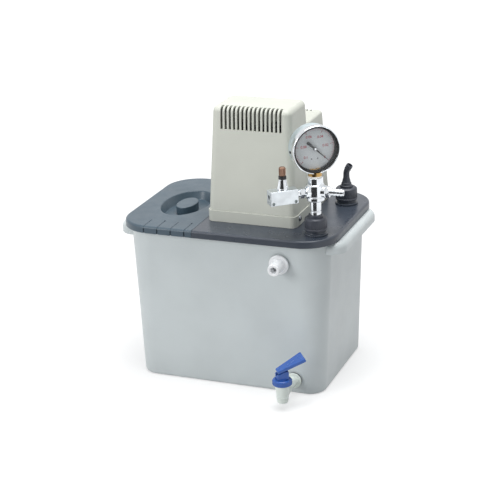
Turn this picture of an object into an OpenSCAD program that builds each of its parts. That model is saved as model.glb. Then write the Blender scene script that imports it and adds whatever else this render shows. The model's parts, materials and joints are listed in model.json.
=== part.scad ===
// Bench-top suction pump: a water tank under a lift-off head with the motor, the pump, two ejectors and a gauge.
// Origin: centre of the tank's underside. +X is the end with the ports, +Y is the back, +Z is up.

/* [Tank] */
// Width across the outside of the walls at the rim
tank_w = 291.5; // [285:0.5:300]
// Depth across the outside of the walls at the rim
tank_d = 210.5; // [205:0.5:220]
// Height of the rim above the surface it stands on
tank_h = 226; // [220:1:240]
// How far each wall leans in at the bottom
tank_lean = 9.7; // [4:0.1:12]
// Thickness of the walls
tank_wall = 3; // [2.5:0.1:4]
// Thickness of the floor
tank_floor = 3.5; // [2.5:0.1:6]
// Plan radius of the upright corners at the rim
rim_corner_r = 39; // [34:1:42]
// Plan radius of the upright corners at the floor
base_corner_r = 24; // [20:1:30]
// Radius of the rounded lower edge
base_edge_r = 8; // [6:0.5:10]
// Overhang of the rim at the two ends
rim_end = 5.25; // [4:0.25:7]
// Overhang of the rim at the two long sides
rim_side = 3.75; // [3:0.25:5]
// Thickness of the rim
rim_t = 3.5; // [2.5:0.1:5]

/* [Handles] */
// Reach of a handle past the wall at the rim
handle_reach = 19.25; // [17:0.25:24]
// Height of a handle's lip
handle_h = 15.5; // [12:0.5:20]
// Thickness of a handle's shell
handle_t = 2.8; // [2:0.1:4]
// Radius of a handle's outer edge
handle_edge_r = 8; // [5:0.5:10]
// How far a handle's ends stay in from the long sides
handle_inset = 22.25; // [20:0.25:30]

/* [Lid] */
// Thickness of the lid's plate
lid_t = 3.7; // [3:0.1:5]
// Height of the skirt, from its lower edge to the lid's top
skirt_h = 10; // [8:0.5:14]
// Thickness of the skirt
skirt_t = 2.5; // [2:0.1:3.5]
// Gap between the rim and the skirt
skirt_gap = 1.5; // [1:0.1:2.5]
// Plan radius of the lid's corners
lid_r = 48.7; // [44:0.1:54]
// Radius of the lid's upper edge
lid_edge_r = 5; // [2:0.5:7]
// Place of the joint between the lid and the access cover
split_x = -40; // [-48:1:-38]
// Gap at that joint
split_gap = 0.4; // [0.3:0.1:0.8]
// Width of the tongue that the access cover rests on
tongue_w = 8; // [6:1:12]

/* [Access cover] */
// Depth of the finger recess
recess_depth = 12; // [8:0.5:14]
// Length of the finger recess, front to back
recess_l = 112; // [100:1:116]
// Width of the finger recess
recess_w = 68; // [60:1:72]
// Length of the grip that stands in the recess
grip_l = 48; // [40:1:56]
// Width of the grip
grip_w = 27.5; // [22:0.5:32]
// Width of the four front grooves
groove_w = 1.6; // [1:0.1:2.5]
// Depth of the grooves
groove_t = 0.9; // [0.5:0.1:1.2]
// Pitch of the grooves
groove_pitch = 20; // [16:0.5:21]

/* [Housing] */
// Width of the housing's base
base_w = 129; // [126:0.5:134]
// Depth of the housing's base
base_d = 148; // [146:0.5:154]
// Height of the base
base_h = 16; // [14:0.5:20]
// Plan radius of the housing's upright edges
housing_r = 9; // [7:0.5:12]
// Height of the front tower above the lid
tower_h = 160; // [140:1:180]
// Depth of the front tower
tower_d = 77; // [70:1:85]
// Height of the rear block above the lid
block_h = 128; // [125:1:135]
// Wall thickness of the shell
shell_t = 2.5; // [2:0.1:3.5]
// Draft of the side walls over the tower's height
side_draft = 7; // [4:0.5:9]
// Draft of the front wall over the tower's height
front_draft = 8.5; // [5:0.5:11]
// Radius of the shell's upper edges
shell_edge_r = 8; // [5:0.5:10]
// Number of cooling slots in a row
slot_n = 15; // [9:2:17]
// Pitch of the cooling slots
slot_pitch = 6; // [5:0.25:6.5]
// Width of a cooling slot
slot_w = 2.5; // [1.5:0.1:3.5]
// Length of the front slots below the tower's top
slot_h = 28; // [15:1:40]

/* [Screws] */
// Radius of the screws' thread
screw_r = 2; // [1.5:0.1:2.3]
// Radius of the screws' heads
screw_head_r = 3.8; // [3.2:0.1:4.5]
// Length of the screws under the head
screw_l = 12; // [9:0.5:12.5]

/* [Motor] */
// Radius of the motor
motor_r = 38; // [36:0.5:41]
// Height of the stator's laminations
stator_h = 39; // [30:1:45]
// Height of each bell
bell_h = 23; // [21:0.5:26]
// Radius of the motor's and the pump's shaft
shaft_r = 4; // [3:0.1:5]
// Outer radius of the ball bearings
bearing_r = 9; // [8.5:0.1:11]
// Radius of the cooling fan
fan_r = 35; // [28:0.5:38]
// Half the side of the square on which the motor plate's posts stand
post_pitch = 36; // [35.5:0.5:38]

/* [Pump] */
// Radius of the column tube
column_r = 17; // [15:0.5:20]
// Wall of the column tube
column_wall = 4; // [3:0.1:5]
// Height of the pump's intake above the tank's underside
intake_z = 34; // [25:1:45]
// Radius of the pump casing
casing_r = 38; // [35:0.5:42]
// Height of the pump casing
casing_h = 20; // [18:0.5:26]
// Radius of the impeller
impeller_r = 30; // [26:0.5:32]
// Outer radius of the water pipes
pipe_r = 6; // [5:0.1:6.5]
// Wall of the water pipes
pipe_wall = 1.6; // [1:0.1:2.2]
// Outer radius of an ejector's body
ejector_r = 12; // [10:0.5:13]
// Height of an ejector's body
ejector_h = 36; // [30:1:44]
// Length of an ejector's diffuser
diffuser_l = 90; // [60:1:105]

/* [Ports] */
// Distance of the ports from the tank's centre plane, to the right
port_x = 126; // [122:0.5:128]
// Place of the front port
front_port_y = -77; // [-79:0.5:-74]
// Place of the rear port
rear_port_y = 57; // [50:0.5:60]
// Outer radius of a port's neck
neck_r = 13; // [12:0.1:14]
// Wall of a port's neck
neck_wall = 4.5; // [4:0.1:5.5]
// Height of a port's neck above the lid
neck_h = 17; // [15:0.5:19]
// Radius of the flange round a neck
neck_flange_r = 16; // [15.5:0.1:17]
// Outer radius of the union caps
cap_r = 15.4; // [14.8:0.1:17]
// Height of the union caps
cap_h = 17.5; // [16:0.5:19]
// Pitch of the caps' thread
cap_pitch = 4; // [3:0.5:5]

/* [Fittings] */
// Radius of the upright stem
stem_r = 7.6; // [7:0.1:8.5]
// Height of the cross above the lid
cross_z = 47.5; // [46:0.5:52]
// Radius of the cross
cross_r = 12.2; // [11:0.1:13]
// Height of the cross
cross_h = 22.5; // [21:0.5:26]
// Height of the arms above the foot of the cross
arm_z = 12.5; // [11:0.5:13]
// Bore of the fittings
bore_r = 3; // [2:0.1:3.5]
// Radius of the check ball
ball_r = 3.5; // [3.2:0.1:3.8]
// Lift of the check ball
ball_lift = 3; // [1:0.5:4]
// Reach of the hose barb from the stem's axis
barb_reach = 38.5; // [34:0.5:44]
// Heading of the hose barb
barb_heading = 3; // [-5:1:5]
// Heading of the needle valve's arm
valve_heading = 220; // [218:1:224]

/* [Needle valve] */
// Length of the valve block
block_l = 38.5; // [34:0.5:40]
// Thickness of the valve block
block_t = 16; // [14:0.5:18]
// Height of the valve block
block_z = 19.3; // [18:0.1:22]
// Distance of the valve block from the stem's axis
block_reach = 26.5; // [26:0.5:30]
// Height of the bonnet
bonnet_h = 14.4; // [12:0.1:16]
// Radius of the valve knob
knob_r = 4.9; // [4.5:0.1:6]
// Height of the valve knob
knob_h = 11.9; // [10:0.1:14]
// Radius of the needle's stem
needle_r = 2.2; // [1.8:0.1:2.6]
// Lift of the needle
needle_lift = 2.1; // [1:0.1:2.4]

/* [Gauge] */
// Height of the gauge's centre above the lid
gauge_z = 118; // [117:0.5:124]
// Radius of the gauge's bezel
bezel_r = 33; // [32:0.5:36]
// Depth of the gauge's case behind the stem's axis
case_back = 18; // [17:0.5:20]
// Wall of the case
case_wall = 1.5; // [1:0.1:2]
// Width of the bezel's front ring
bezel_ring = 4.5; // [3:0.5:6]
// Heading of the gauge's face away from the front
gauge_turn = 40; // [30:1:45]
// Direction in which the pointer stands at zero
zero_angle = -35.5; // [-45:0.5:-30]
// Module of the gauge's gears
gear_module = 0.4; // [0.35:0.01:0.42]
// Teeth on the pointer's pinion
pinion_teeth = 12; // [12:1:12]
// Teeth on the full circle of the sector
sector_teeth = 96; // [96:1:96]

/* [Overflow] */
// Place of the overflow nozzle to the right of the centre
overflow_x = 83; // [80:0.5:86]
// How far the overflow nozzle's axis lies below the rim
overflow_drop = 33.5; // [30:0.5:41]
// Radius of the flanges on the tank's wall
flange_r = 13; // [12:0.5:15]
// Length of the nozzle outside the wall
nozzle_l = 25; // [20:0.5:32]
// Radius of the nozzle's tip
nozzle_tip_r = 8.3; // [7:0.1:8.5]
// Bore of the nozzle
nozzle_bore_r = 3.5; // [3:0.1:4.5]

/* [Tap] */
// Place of the tap to the right of the centre
tap_x = 98; // [94:0.5:100]
// Distance of the tap's upright axis in front of the tank's centre
tap_y = -145; // [-150:0.5:-145]
// Height of the tap's shank at the wall
shank_z = 21.7; // [21:0.1:23]
// Radius of the shank
shank_r = 6.5; // [6:0.1:7]
// Height of the tap's outlet
spout_z = 10; // [8:0.5:11]
// Bore of the outlet
spout_bore_r = 4.5; // [3.5:0.1:5]
// Height of the body's shoulder
shoulder_z = 36.5; // [35:0.5:40]
// Radius of the body at its shoulder
tap_body_r = 10.6; // [10:0.1:12]
// Radius of the body at its outlet
spout_r = 8; // [7.5:0.1:9]
// Radius of the collar
collar_r = 13.5; // [12.5:0.1:15]
// Height of the collar
collar_h = 8; // [7.5:0.1:10]
// Heading of the lever
lever_heading = 35; // [30:1:42]
// Length of the lever's blade
lever_l = 41; // [36:0.5:44]
// Width of the lever at its tip
lever_tip_w = 26.5; // [20:0.5:28]
// Width of the lever at its root
lever_root_w = 12; // [10:0.5:13]
// Thickness of the lever
lever_t = 4.2; // [3.6:0.1:5]
// Rise of the lever at rest
lever_rise = 24.7; // [22:0.1:27]
// Turn of the lever from rest to open
lever_turn = 28; // [20:1:28]

/* [Fits] */
// Running gap between moving faces
gap = 0.3; // [0.2:0.05:0.4]
// Radial clearance of a pin in its hole
pin_gap = 0.05; // [0.03:0.01:0.08]
// Radial clearance of a screw or a shank in its hole
hole_gap = 0.25; // [0.15:0.05:0.35]

/* [Hidden] */
$fn = 48;

// Colours, as the photograph shows them
tank_colour = "#c6ced0";
lid_colour = "#56606b";
housing_colour = "#dcdfd6";
black_plastic = "#3a3c41";
white_plastic = "#e3e6ea";
blue_plastic = "#3d6fb4";
chrome = "#cfd4d8";
brass = "#c08a3e";
steel = "#a9adb1";
copper = "#b8704a";
rubber = "#2a2b2d";

// Lid and rim
rim_w = tank_w + 2 * rim_end;
rim_d = tank_d + 2 * rim_side;
void_w = rim_w + 2 * skirt_gap;
void_d = rim_d + 2 * skirt_gap;
void_r = lid_r - skirt_t;
lid_w = void_w + 2 * skirt_t;
lid_d = void_d + 2 * skirt_t;
rim_r = void_r - skirt_gap;
lid_under = tank_h + gap;
lid_top = lid_under + lid_t;
skirt_z = lid_top - skirt_h;
tongue_t = 2.5;

// Handles
handle_top = skirt_z - 0.5;
handle_corner_r = handle_reach + tank_wall - 0.25;
handle_cx = tank_w / 2 + handle_reach - handle_corner_r;
handle_cy = tank_d / 2 - handle_inset - handle_corner_r;
handle_tail = 8;

// Access cover
recess_x = -92.5;
recess_y = -2;
recess_slope = 7;
recess_wall = 2.5;
groove_x = -110.5;
groove_l = 25;

// Overflow
overflow_z = tank_h - overflow_drop;

// Housing
base_x = 29.5;
base_y = 7;
base_wall = 3;
capacitor_r = 15;
capacitor_h = 58;
capacitor_x = 2;
capacitor_y = base_y + base_d / 2 - base_wall - 7 - capacitor_r;
seam = 0.3;
shell_z = lid_top + base_h + seam;
shell_in = 1.4;
tower_left = base_x - base_w / 2 + shell_in;
tower_right = base_x + base_w / 2 - shell_in;
tower_front = base_y - base_d / 2 + shell_in - 0.5;
tower_back = tower_front + tower_d;
block_back = base_y + base_d / 2 - shell_in + 1;
block_front = -20;
tower_top = lid_top + tower_h;
block_top = lid_top + block_h;
block_draft = 4;
block_proud = 0.9;
side_a = atan(side_draft / (tower_top - shell_edge_r - shell_z));
tab_w = 12;
tab_t = 2.6;
side_screw_z = lid_top + 10;
side_screw_ys = [-51, 60];
head_h = 2.4;
switch_l = 26;
switch_w = 20;
switch_depth = 14;
switch_wall = 2.2;
switch_y = -30;
switch_z = lid_top + 78;
rocker_tilt = 9;
rocker_pin_r = 1.5;
rocker_pin_z = -3;
gland_x = 50;
gland_r = 5;
gland_z = lid_top + 9.7;

// Motor: its upright axis is the pump's axis too
motor_x = 30;
motor_y = -8;
plate_z = lid_top + base_h;
plate_t = 4;
bell_z = plate_z + plate_t;
stator_z = bell_z + bell_h;
upper_bell_z = stator_z + stator_h;
motor_top = upper_bell_z + bell_h;
bell_wall = 3;
bearing_w = 7;
bearing_seat = bearing_r + 4;
bolt_pitch_r = motor_r - 5;
bolt_r = 1.8;
stator_in_r = 20;
winding_h = 11;
core_gap = 0.5;
fan_z = motor_top + 3;
fan_h = 13;

// Pump
column_bore_r = column_r - column_wall;
column_flange_r = 30;
column_flange_t = 4;
cover_t = 6;
casing_z = intake_z + cover_t;
casing_top = casing_z + casing_h;
casing_wall = 3;
outlet_off = casing_r - 12;
outlet_z = casing_z + casing_h - 12;
outlet_l = casing_r + 3;
riser_out = 8;
bush_w = 10;
riser_top = lid_top - 30;
ejector_x = 92;
ejector_ys = [-50, 32];
port_ys = [front_port_y, rear_port_y];
ejector_top = riser_top - 12;
ejector_z = ejector_top - ejector_h;
inlet_z = ejector_z + 18;
neck_bore_r = neck_r - neck_wall;

// Stack on the front port
cap_z = lid_top + 7;
cap_top = cap_z + cap_h;
cap_wall = 2.5;
neck_top = lid_top + neck_h;
stem_flange_t = 3;
stem_flange_r = neck_r - 0.2;
stem_flange_z = neck_top + 0.2;
slip_z = stem_flange_z + stem_flange_t;
slip_t = cap_top - cap_wall - slip_z - gap;
cap_travel = 8;
seat_z = lid_top + 32;
ball_bore_r = ball_r + 0.6;
ball_seat_r = 0.8 * ball_r;
ball_z = seat_z + sqrt(ball_r * ball_r - ball_seat_r * ball_seat_r) + 0.05;
stop_z = ball_z + ball_lift + sqrt(ball_r * ball_r - ball_seat_r * ball_seat_r) + 0.1;
cross_foot = lid_top + cross_z;
cross_top = cross_foot + cross_h;
arm_axis = cross_foot + arm_z;
arm_r = 8.5;
arm_l = 15;
top_socket_r = cross_r - 1.6;
top_socket_h = 10;
socket_z = cross_top + top_socket_h;
brass_r = 9.2;

// Needle valve, along its arm
valve_x = block_reach + block_l / 2;
valve_z = arm_axis - 11;
valve_top = valve_z + block_z;
needle_tip_z = valve_z + 4.5;
chamber_r = needle_r + 2;
chamber_z = valve_z + 7;
orifice_r = 1.6;
bonnet_r = 7.25;
bonnet_top_r = 5.65;
ring_z = valve_top + bonnet_h;
ring_t = 4.1;
knob_z = ring_z + ring_t + gap;
mount_hole_r = 1.75;
mount_hole_pitch = 31;

// Gauge, measured along its own axis from the stem's axis
gauge_centre = lid_top + gauge_z;
case_r = bezel_r - 2;
case_front = 3.3;
glass_t = 1.6;
bezel_front = 8;
dial_z = -2;
dial_t = 1;
dial_r = case_r - case_wall - 0.2;
arbor_r = 0.8;
pinion_r = gear_module * pinion_teeth / 2;
sector_r = gear_module * sector_teeth / 2;
sector_y = -(pinion_r + sector_r);
tube_r = 22.5;
tube_angle = 265;
pointer_travel = 270;
sector_start = pointer_travel / 2 * pinion_teeth / sector_teeth;
movement_z = -7;

// Tank fittings
lean_a = atan(tank_lean / tank_h);
gasket_t = 2;
nut_t = 6;
flange_t = 3;
nozzle_shank_r = 6;
tap_flange_r = 11;
shank_bore_r = 3.5;
tap_reach = (-tap_y - half_d(shank_z)) / cos(lean_a);

// Tap, upright parts
tap_bore_r = 6.2;
neck_z = shoulder_z + 4.5;
tap_neck_r = tap_body_r - 0.3;
collar_z = shoulder_z;
collar_top = collar_z + collar_h;
collar_plate = 1.3;
turret_flange_r = tap_neck_r - 0.4;
turret_neck_r = 8.3;
turret_z = neck_z + 0.1;
boss_l = 16;
boss_w = 13;
boss_z = collar_top + gap;
boss_top = boss_z + 11.2;
slot_in = 6.4;
pivot_x = 5;
pivot_z = boss_top - 3.5;
pivot_r = 1.6;
hub_r = 3.2;
blade_root = -9.8;
blade_under = 5.8;
prong_h = 1.4;
stem_neck_r = 1.2;
tap_stem_r = 2;
stem_head_r = 2;
stem_head_t = 0.9;
tap_seat_z = spout_z + 4.5;
seal_t = 2.5;
spring_seat_z = tap_seat_z + 9.5;
spring_seat_t = 1.5;
spring_r = 4.2;
wire_r = 0.5;
spring_turns = 7;

// Outside of the tank at a height: half its width, half its depth and the radius of its corners
function half_w(z) = tank_w / 2 - tank_lean * (1 - z / tank_h);
function half_d(z) = tank_d / 2 - tank_lean * (1 - z / tank_h);
function corner_r(z) = base_corner_r + (rim_corner_r - base_corner_r) * z / tank_h;

// Rectangle with round corners, centred
module rounded(w, d, r) {
    square([w - 2 * r, d], center = true);
    square([w, d - 2 * r], center = true);
    for (sx = [-1, 1], sy = [-1, 1])
        translate([sx * (w / 2 - r), sy * (d / 2 - r)]) circle(r);
}

// Oval of four arcs: its length runs along Y
module oval(w, l) {
    end_r = 0.34 * w;
    c_end = l / 2 - end_r;
    c_side = (c_end * c_end - pow(w / 2 - end_r, 2)) / (2 * (w / 2 - end_r));
    side_r = c_side + w / 2;
    reach = c_end + end_r * c_end / norm([c_side, c_end]);
    intersection() {
        translate([c_side, 0]) circle(side_r, $fn = 160);
        translate([-c_side, 0]) circle(side_r, $fn = 160);
        square([w, 2 * reach], center = true);
    }
    for (s = [-1, 1]) translate([0, s * c_end]) circle(end_r);
}

// Ring with a bore
module tube(h, r, bore) {
    difference() {
        cylinder(h = h, r = r);
        translate([0, 0, -1]) cylinder(h = h + 2, r = bore);
    }
}

// Leaning tub: inset from the outside by a wall, with a rounded lower edge
module tub(inset, edge, low, high) {
    z = low + edge;
    hull()
        for (sx = [-1, 1], sy = [-1, 1]) {
            translate([sx * (half_w(z) - corner_r(z)), sy * (half_d(z) - corner_r(z)), z])
                rotate_extrude($fn = 40)
                    translate([corner_r(z) - inset - edge, 0]) circle(edge, $fn = 24);
            translate([sx * (half_w(high) - corner_r(high)), sy * (half_d(high) - corner_r(high)), high - 0.01])
                cylinder(h = 0.01, r = corner_r(high) - inset, $fn = 40);
        }
}

// Places its children on the front wall, with +Z straight out of the wall
module on_half_d(x, z) {
    translate([x, -half_d(z), z]) rotate([90 + lean_a, 0, 0]) children();
}

// Section of a handle: across from the centre of its plan corner, and up
module handle_section() {
    inner = handle_corner_r - handle_edge_r;
    translate([0, handle_top - handle_t]) square([inner, handle_t]);
    translate([handle_corner_r - handle_t, handle_top - handle_h]) square([handle_t, handle_h - handle_edge_r]);
    translate([inner, handle_top - handle_edge_r])
        intersection() {
            difference() {
                circle(handle_edge_r);
                circle(handle_edge_r - handle_t);
            }
            square(handle_edge_r);
        }
}

// Handle at the right end: a lip that hangs from the rim, open underneath
module handle() {
    for (m = [0, 1]) mirror([0, m, 0]) {
        translate([handle_cx, handle_cy, 0]) rotate([90, 0, 0]) linear_extrude(handle_cy) handle_section();
        translate([handle_cx, handle_cy, 0]) rotate_extrude(angle = 90) handle_section();
        translate([handle_cx - handle_tail, handle_cy, 0])
            rotate([90, 0, 90]) linear_extrude(handle_tail) handle_section();
    }
}

module tank() {
    color(tank_colour) difference() {
        union() {
            tub(0, base_edge_r, 0, tank_h);
            translate([0, 0, tank_h - rim_t]) linear_extrude(rim_t) rounded(rim_w, rim_d, rim_r);
            for (m = [0, 1]) mirror([m, 0, 0]) handle();
        }
        tub(tank_wall, base_edge_r - tank_wall, tank_floor, tank_h + 1);
        on_half_d(overflow_x, overflow_z)
            translate([0, 0, -10]) cylinder(h = 20, r = nozzle_shank_r + hole_gap);
        on_half_d(tap_x, shank_z)
            translate([0, 0, -10]) cylinder(h = 20, r = shank_r + hole_gap);
    }
}

module overflow_nozzle() {
    color(white_plastic) on_half_d(overflow_x, overflow_z) difference() {
        union() {
            translate([0, 0, -tank_wall - nut_t - 3]) cylinder(h = tank_wall + nut_t + 5 + gasket_t, r = nozzle_shank_r);
            translate([0, 0, gasket_t]) cylinder(h = flange_t, r = flange_r);
            translate([0, 0, gasket_t + flange_t])
                cylinder(h = nozzle_l - gasket_t - flange_t, r1 = nozzle_tip_r + 2, r2 = nozzle_tip_r);
        }
        translate([0, 0, -30]) cylinder(h = 30 + nozzle_l + 1, r = nozzle_bore_r);
    }
}

module tank_gaskets() {
    color(rubber) {
        on_half_d(overflow_x, overflow_z) tube(gasket_t, flange_r - 0.5, nozzle_shank_r);
        on_half_d(tap_x, shank_z) tube(gasket_t, tap_flange_r - 0.5, shank_r);
    }
}

// Hexagonal nut behind the front wall
module wall_nut(bore) {
    translate([0, 0, -tank_wall - nut_t]) difference() {
        cylinder(h = nut_t, r = flange_r, $fn = 6);
        translate([0, 0, -1]) cylinder(h = nut_t + 2, r = bore);
    }
}

module tank_nuts() {
    color(white_plastic) {
        on_half_d(overflow_x, overflow_z) wall_nut(nozzle_shank_r);
        on_half_d(tap_x, shank_z) wall_nut(shank_r);
    }
}

module tap_body() {
    color(white_plastic) difference() {
        union() {
            on_half_d(tap_x, shank_z) {
                translate([0, 0, -tank_wall - nut_t - 2]) cylinder(h = tank_wall + nut_t + 2 + tap_reach, r = shank_r);
                translate([0, 0, gasket_t]) cylinder(h = flange_t, r = tap_flange_r);
            }
            translate([tap_x, tap_y, spout_z]) cylinder(h = shoulder_z - spout_z, r1 = spout_r, r2 = tap_body_r);
            for (z = [spout_z, spout_z + 4]) translate([tap_x, tap_y, z]) cylinder(h = 1.6, r = spout_r + 1.2);
            translate([tap_x, tap_y, shoulder_z]) cylinder(h = neck_z - shoulder_z, r = tap_neck_r);
        }
        translate([tap_x, tap_y, tap_seat_z]) cylinder(h = 60, r = tap_bore_r);
        translate([tap_x, tap_y, 0]) cylinder(h = 60, r = spout_bore_r);
        on_half_d(tap_x, shank_z)
            translate([0, 0, -30]) cylinder(h = 30 + tap_reach - 3, r = shank_bore_r);
    }
}

module tap_collar() {
    color(blue_plastic) translate([tap_x, tap_y, collar_z]) difference() {
        cylinder(h = collar_h, r = collar_r);
        translate([0, 0, -1]) cylinder(h = collar_h - collar_plate + 1, r = tap_neck_r + pin_gap);
        cylinder(h = collar_h + 1, r = turret_neck_r + gap);
        for (a = [0 : 15 : 345]) rotate([0, 0, a]) translate([collar_r + 0.5, 0, -1]) cylinder(h = collar_h + 2, r = 1.1);
    }
}

// Places its children on the tap's axis, with +X along the lever
module on_tap() {
    translate([tap_x, tap_y, 0]) rotate([0, 0, lever_heading]) children();
}

// Places its children at the lever's pivot, with +X along the risen blade
module along_lever() {
    translate([pivot_x, 0, pivot_z]) rotate([0, -lever_rise, 0]) children();
}

module tap_turret() {
    color(blue_plastic) on_tap() difference() {
        union() {
            translate([0, 0, turret_z])
                cylinder(h = collar_top - collar_plate - gap - turret_z, r = turret_flange_r);
            translate([0, 0, turret_z]) cylinder(h = boss_z + 1 - turret_z, r = turret_neck_r);
            translate([-boss_l / 2, -boss_w / 2, boss_z]) cube([boss_l, boss_w, boss_top - boss_z]);
        }
        translate([-boss_l, -slot_in / 2, pivot_z - hub_r - gap]) cube([2 * boss_l, slot_in, 20]);
        along_lever() translate([-2 * boss_l, -boss_l, blade_under - 3 * gap]) cube([4 * boss_l, 2 * boss_l, 30]);
        translate([0, 0, turret_z - 1]) cylinder(h = 30, r = tap_stem_r + gap);
        translate([pivot_x, boss_w, pivot_z]) rotate([90, 0, 0]) cylinder(h = 2 * boss_w, r = pivot_r + pin_gap);
    }
}

// Outline of the lever's blade, from its root to a rounded tip
module blade_outline() {
    tip = blade_root + lever_l;
    intersection() {
        polygon([
            [blade_root, -lever_root_w / 2], [tip, -lever_tip_w / 2],
            [tip, lever_tip_w / 2], [blade_root, lever_root_w / 2]
        ]);
        circle(norm([tip, lever_tip_w / 2]) - 2, $fn = 160);
    }
}

module tap_lever() {
    cheek = slot_in / 2 - gap;
    color(blue_plastic) on_tap() translate([pivot_x, 0, pivot_z]) {
        difference() {
            union() {
                rotate([90, 0, 0]) cylinder(h = 2 * cheek, r = hub_r, center = true);
                translate([-pivot_x, -cheek, -prong_h]) cube([pivot_x, 2 * cheek, 2 * prong_h]);
            }
            translate([-pivot_x - 1, -stem_neck_r - gap, -5]) cube([3.4, 2 * (stem_neck_r + gap), 10]);
        }
        for (m = [0, 1]) mirror([0, m, 0]) translate([0, boss_w / 2 - 0.2, 0])
            rotate([90, 0, 0]) cylinder(h = boss_w / 2 - 0.2 - cheek, r = pivot_r);
    }
    color(blue_plastic) on_tap() along_lever() {
        translate([-0.5, -cheek, 0]) cube([4.5, 2 * cheek, blade_under + 0.5]);
        translate([0, 0, blade_under]) linear_extrude(lever_t) blade_outline();
    }
}

module tap_stem() {
    head_z = pivot_z + prong_h + gap;
    color(steel) translate([tap_x, tap_y, 0]) {
        translate([0, 0, tap_seat_z + gap + seal_t]) cylinder(h = turret_z + 4 - tap_seat_z - gap - seal_t, r = tap_stem_r);
        translate([0, 0, turret_z + 4]) cylinder(h = head_z - turret_z - 4, r = stem_neck_r);
        translate([0, 0, head_z]) cylinder(h = stem_head_t, r = stem_head_r);
        translate([0, 0, spring_seat_z]) cylinder(h = spring_seat_t, r = tap_bore_r - 0.7);
    }
}

module tap_seal() {
    color(rubber) translate([tap_x, tap_y, tap_seat_z + gap])
        cylinder(h = seal_t, r = tap_bore_r - 0.5);
}

// Point at a share t of a coil's length, and the ring of the wire's section there
function coil_point(t, r, turns, z0, z1) = [r * cos(360 * turns * t), r * sin(360 * turns * t), z0 + (z1 - z0) * t];
function coil_ring(t, r, turns, z0, z1, wire, sides) = [
    for (k = [0 : sides - 1])
        let (
            a = 360 * turns * t,
            b = 360 * k / sides,
            p = coil_point(t, r, turns, z0, z1)
        )
        [p[0] + wire * cos(b) * cos(a), p[1] + wire * cos(b) * sin(a), p[2] + wire * sin(b)]
];

// Coil spring as one swept tube
module coil(r, turns, z0, z1, wire) {
    sides = 6;
    steps = 12 * turns;
    points = [for (i = [0 : steps]) each coil_ring(i / steps, r, turns, z0, z1, wire, sides)];
    walls = [
        for (i = [0 : steps - 1], k = [0 : sides - 1])
            [i * sides + k, (i + 1) * sides + k, (i + 1) * sides + (k + 1) % sides, i * sides + (k + 1) % sides]
    ];
    ends = [
        [for (k = [0 : sides - 1]) k],
        [for (k = [sides - 1 : -1 : 0]) steps * sides + k]
    ];
    polyhedron(points = points, faces = concat(walls, ends), convexity = 10);
}

module tap_spring() {
    color(steel) translate([tap_x, tap_y, 0])
        coil(spring_r, spring_turns, spring_seat_z + spring_seat_t + wire_r + 0.05, turret_z - wire_r - 0.05, wire_r);
}

// Slab with round plan corners and a rounded upper edge
module edge_section(w, h, e) {
    square([w, h - e]);
    translate([0, h - e]) square([w - e, e]);
    translate([w - e, h - e]) intersection() {
        circle(e);
        square(e);
    }
}

module soft_slab(w, d, r, h, e) {
    translate([r - w / 2, 0, 0]) rotate([90, 0, 90]) linear_extrude(w - 2 * r)
        for (m = [0, 1]) mirror([m, 0]) edge_section(d / 2, h, e);
    translate([0, d / 2 - r, 0]) rotate([90, 0, 0]) linear_extrude(d - 2 * r)
        for (m = [0, 1]) mirror([m, 0]) edge_section(w / 2, h, e);
    for (mx = [0, 1], my = [0, 1]) mirror([mx, 0, 0]) mirror([0, my, 0])
        translate([w / 2 - r, d / 2 - r, 0]) rotate_extrude(angle = 90) edge_section(r, h, e);
}

// The whole lid, before it is parted into lid and access cover
module lid_form() {
    difference() {
        translate([0, 0, skirt_z]) soft_slab(lid_w, lid_d, lid_r, skirt_h, lid_edge_r);
        translate([0, 0, skirt_z - 1]) linear_extrude(lid_under - skirt_z + 1) rounded(void_w, void_d, void_r);
    }
}

// Block that keeps one side of the joint in the lid
module side_of_split(side) {
    x = side > 0 ? split_x + split_gap / 2 : split_x - split_gap / 2 - lid_w;
    translate([x, -lid_d, skirt_z - 30]) cube([lid_w, 2 * lid_d, skirt_h + 40]);
}

module port_neck(y) {
    translate([port_x, y, lid_top]) cylinder(h = neck_h, r = neck_r);
    translate([port_x, y, lid_top]) cylinder(h = 3, r = neck_flange_r);
}

module main_lid() {
    tongue_d = void_d - 26;
    color(lid_colour) difference() {
        union() {
            intersection() {
                lid_form();
                side_of_split(1);
            }
            translate([split_x - tongue_w, -tongue_d / 2, tank_h - tongue_t])
                cube([tongue_w + 8, tongue_d, tongue_t]);
            translate([split_x + split_gap / 2, -tongue_d / 2, tank_h - tongue_t])
                cube([8 - split_gap / 2, tongue_d, tongue_t + 1]);
            for (y = port_ys) port_neck(y);
        }
        for (y = port_ys) translate([port_x, y, skirt_z]) cylinder(h = 60, r = neck_bore_r);
        translate([motor_x, motor_y, skirt_z]) cylinder(h = 30, r = column_r + hole_gap);
        for (p = posts()) translate([p[0], p[1], skirt_z]) cylinder(h = 30, r = screw_r + hole_gap);
    }
}

// Groove that follows the front of the lid: up the skirt, over the edge and back on the top
module groove(x) {
    edge_y = lid_edge_r - lid_d / 2;
    edge_z = lid_top - lid_edge_r;
    floor_r = lid_edge_r - groove_t;
    translate([x + groove_w / 2, 0, 0]) rotate([0, -90, 0]) linear_extrude(groove_w) difference() {
        translate([skirt_z - 1, -lid_d / 2 - 1]) square([skirt_h + 2, groove_l + lid_edge_r + 1]);
        translate([skirt_z - 2, edge_y - floor_r]) square([edge_z - skirt_z + 2, 60]);
        translate([skirt_z - 2, edge_y]) square([skirt_h + 2 - groove_t, 60]);
        translate([edge_z, edge_y]) circle(floor_r);
    }
}

// Pocket with sloping sides, grown sideways by a wall, with a straight rim on top
module recess_pocket(grow, low, high, rim) {
    foot = grow - recess_slope;
    translate([recess_x, recess_y, 0]) hull() {
        translate([0, 0, high]) linear_extrude(rim) oval(recess_w + 2 * grow, recess_l + 2 * grow);
        translate([0, 0, low]) linear_extrude(0.1) oval(recess_w + 2 * foot, recess_l + 2 * foot);
    }
}

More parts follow.
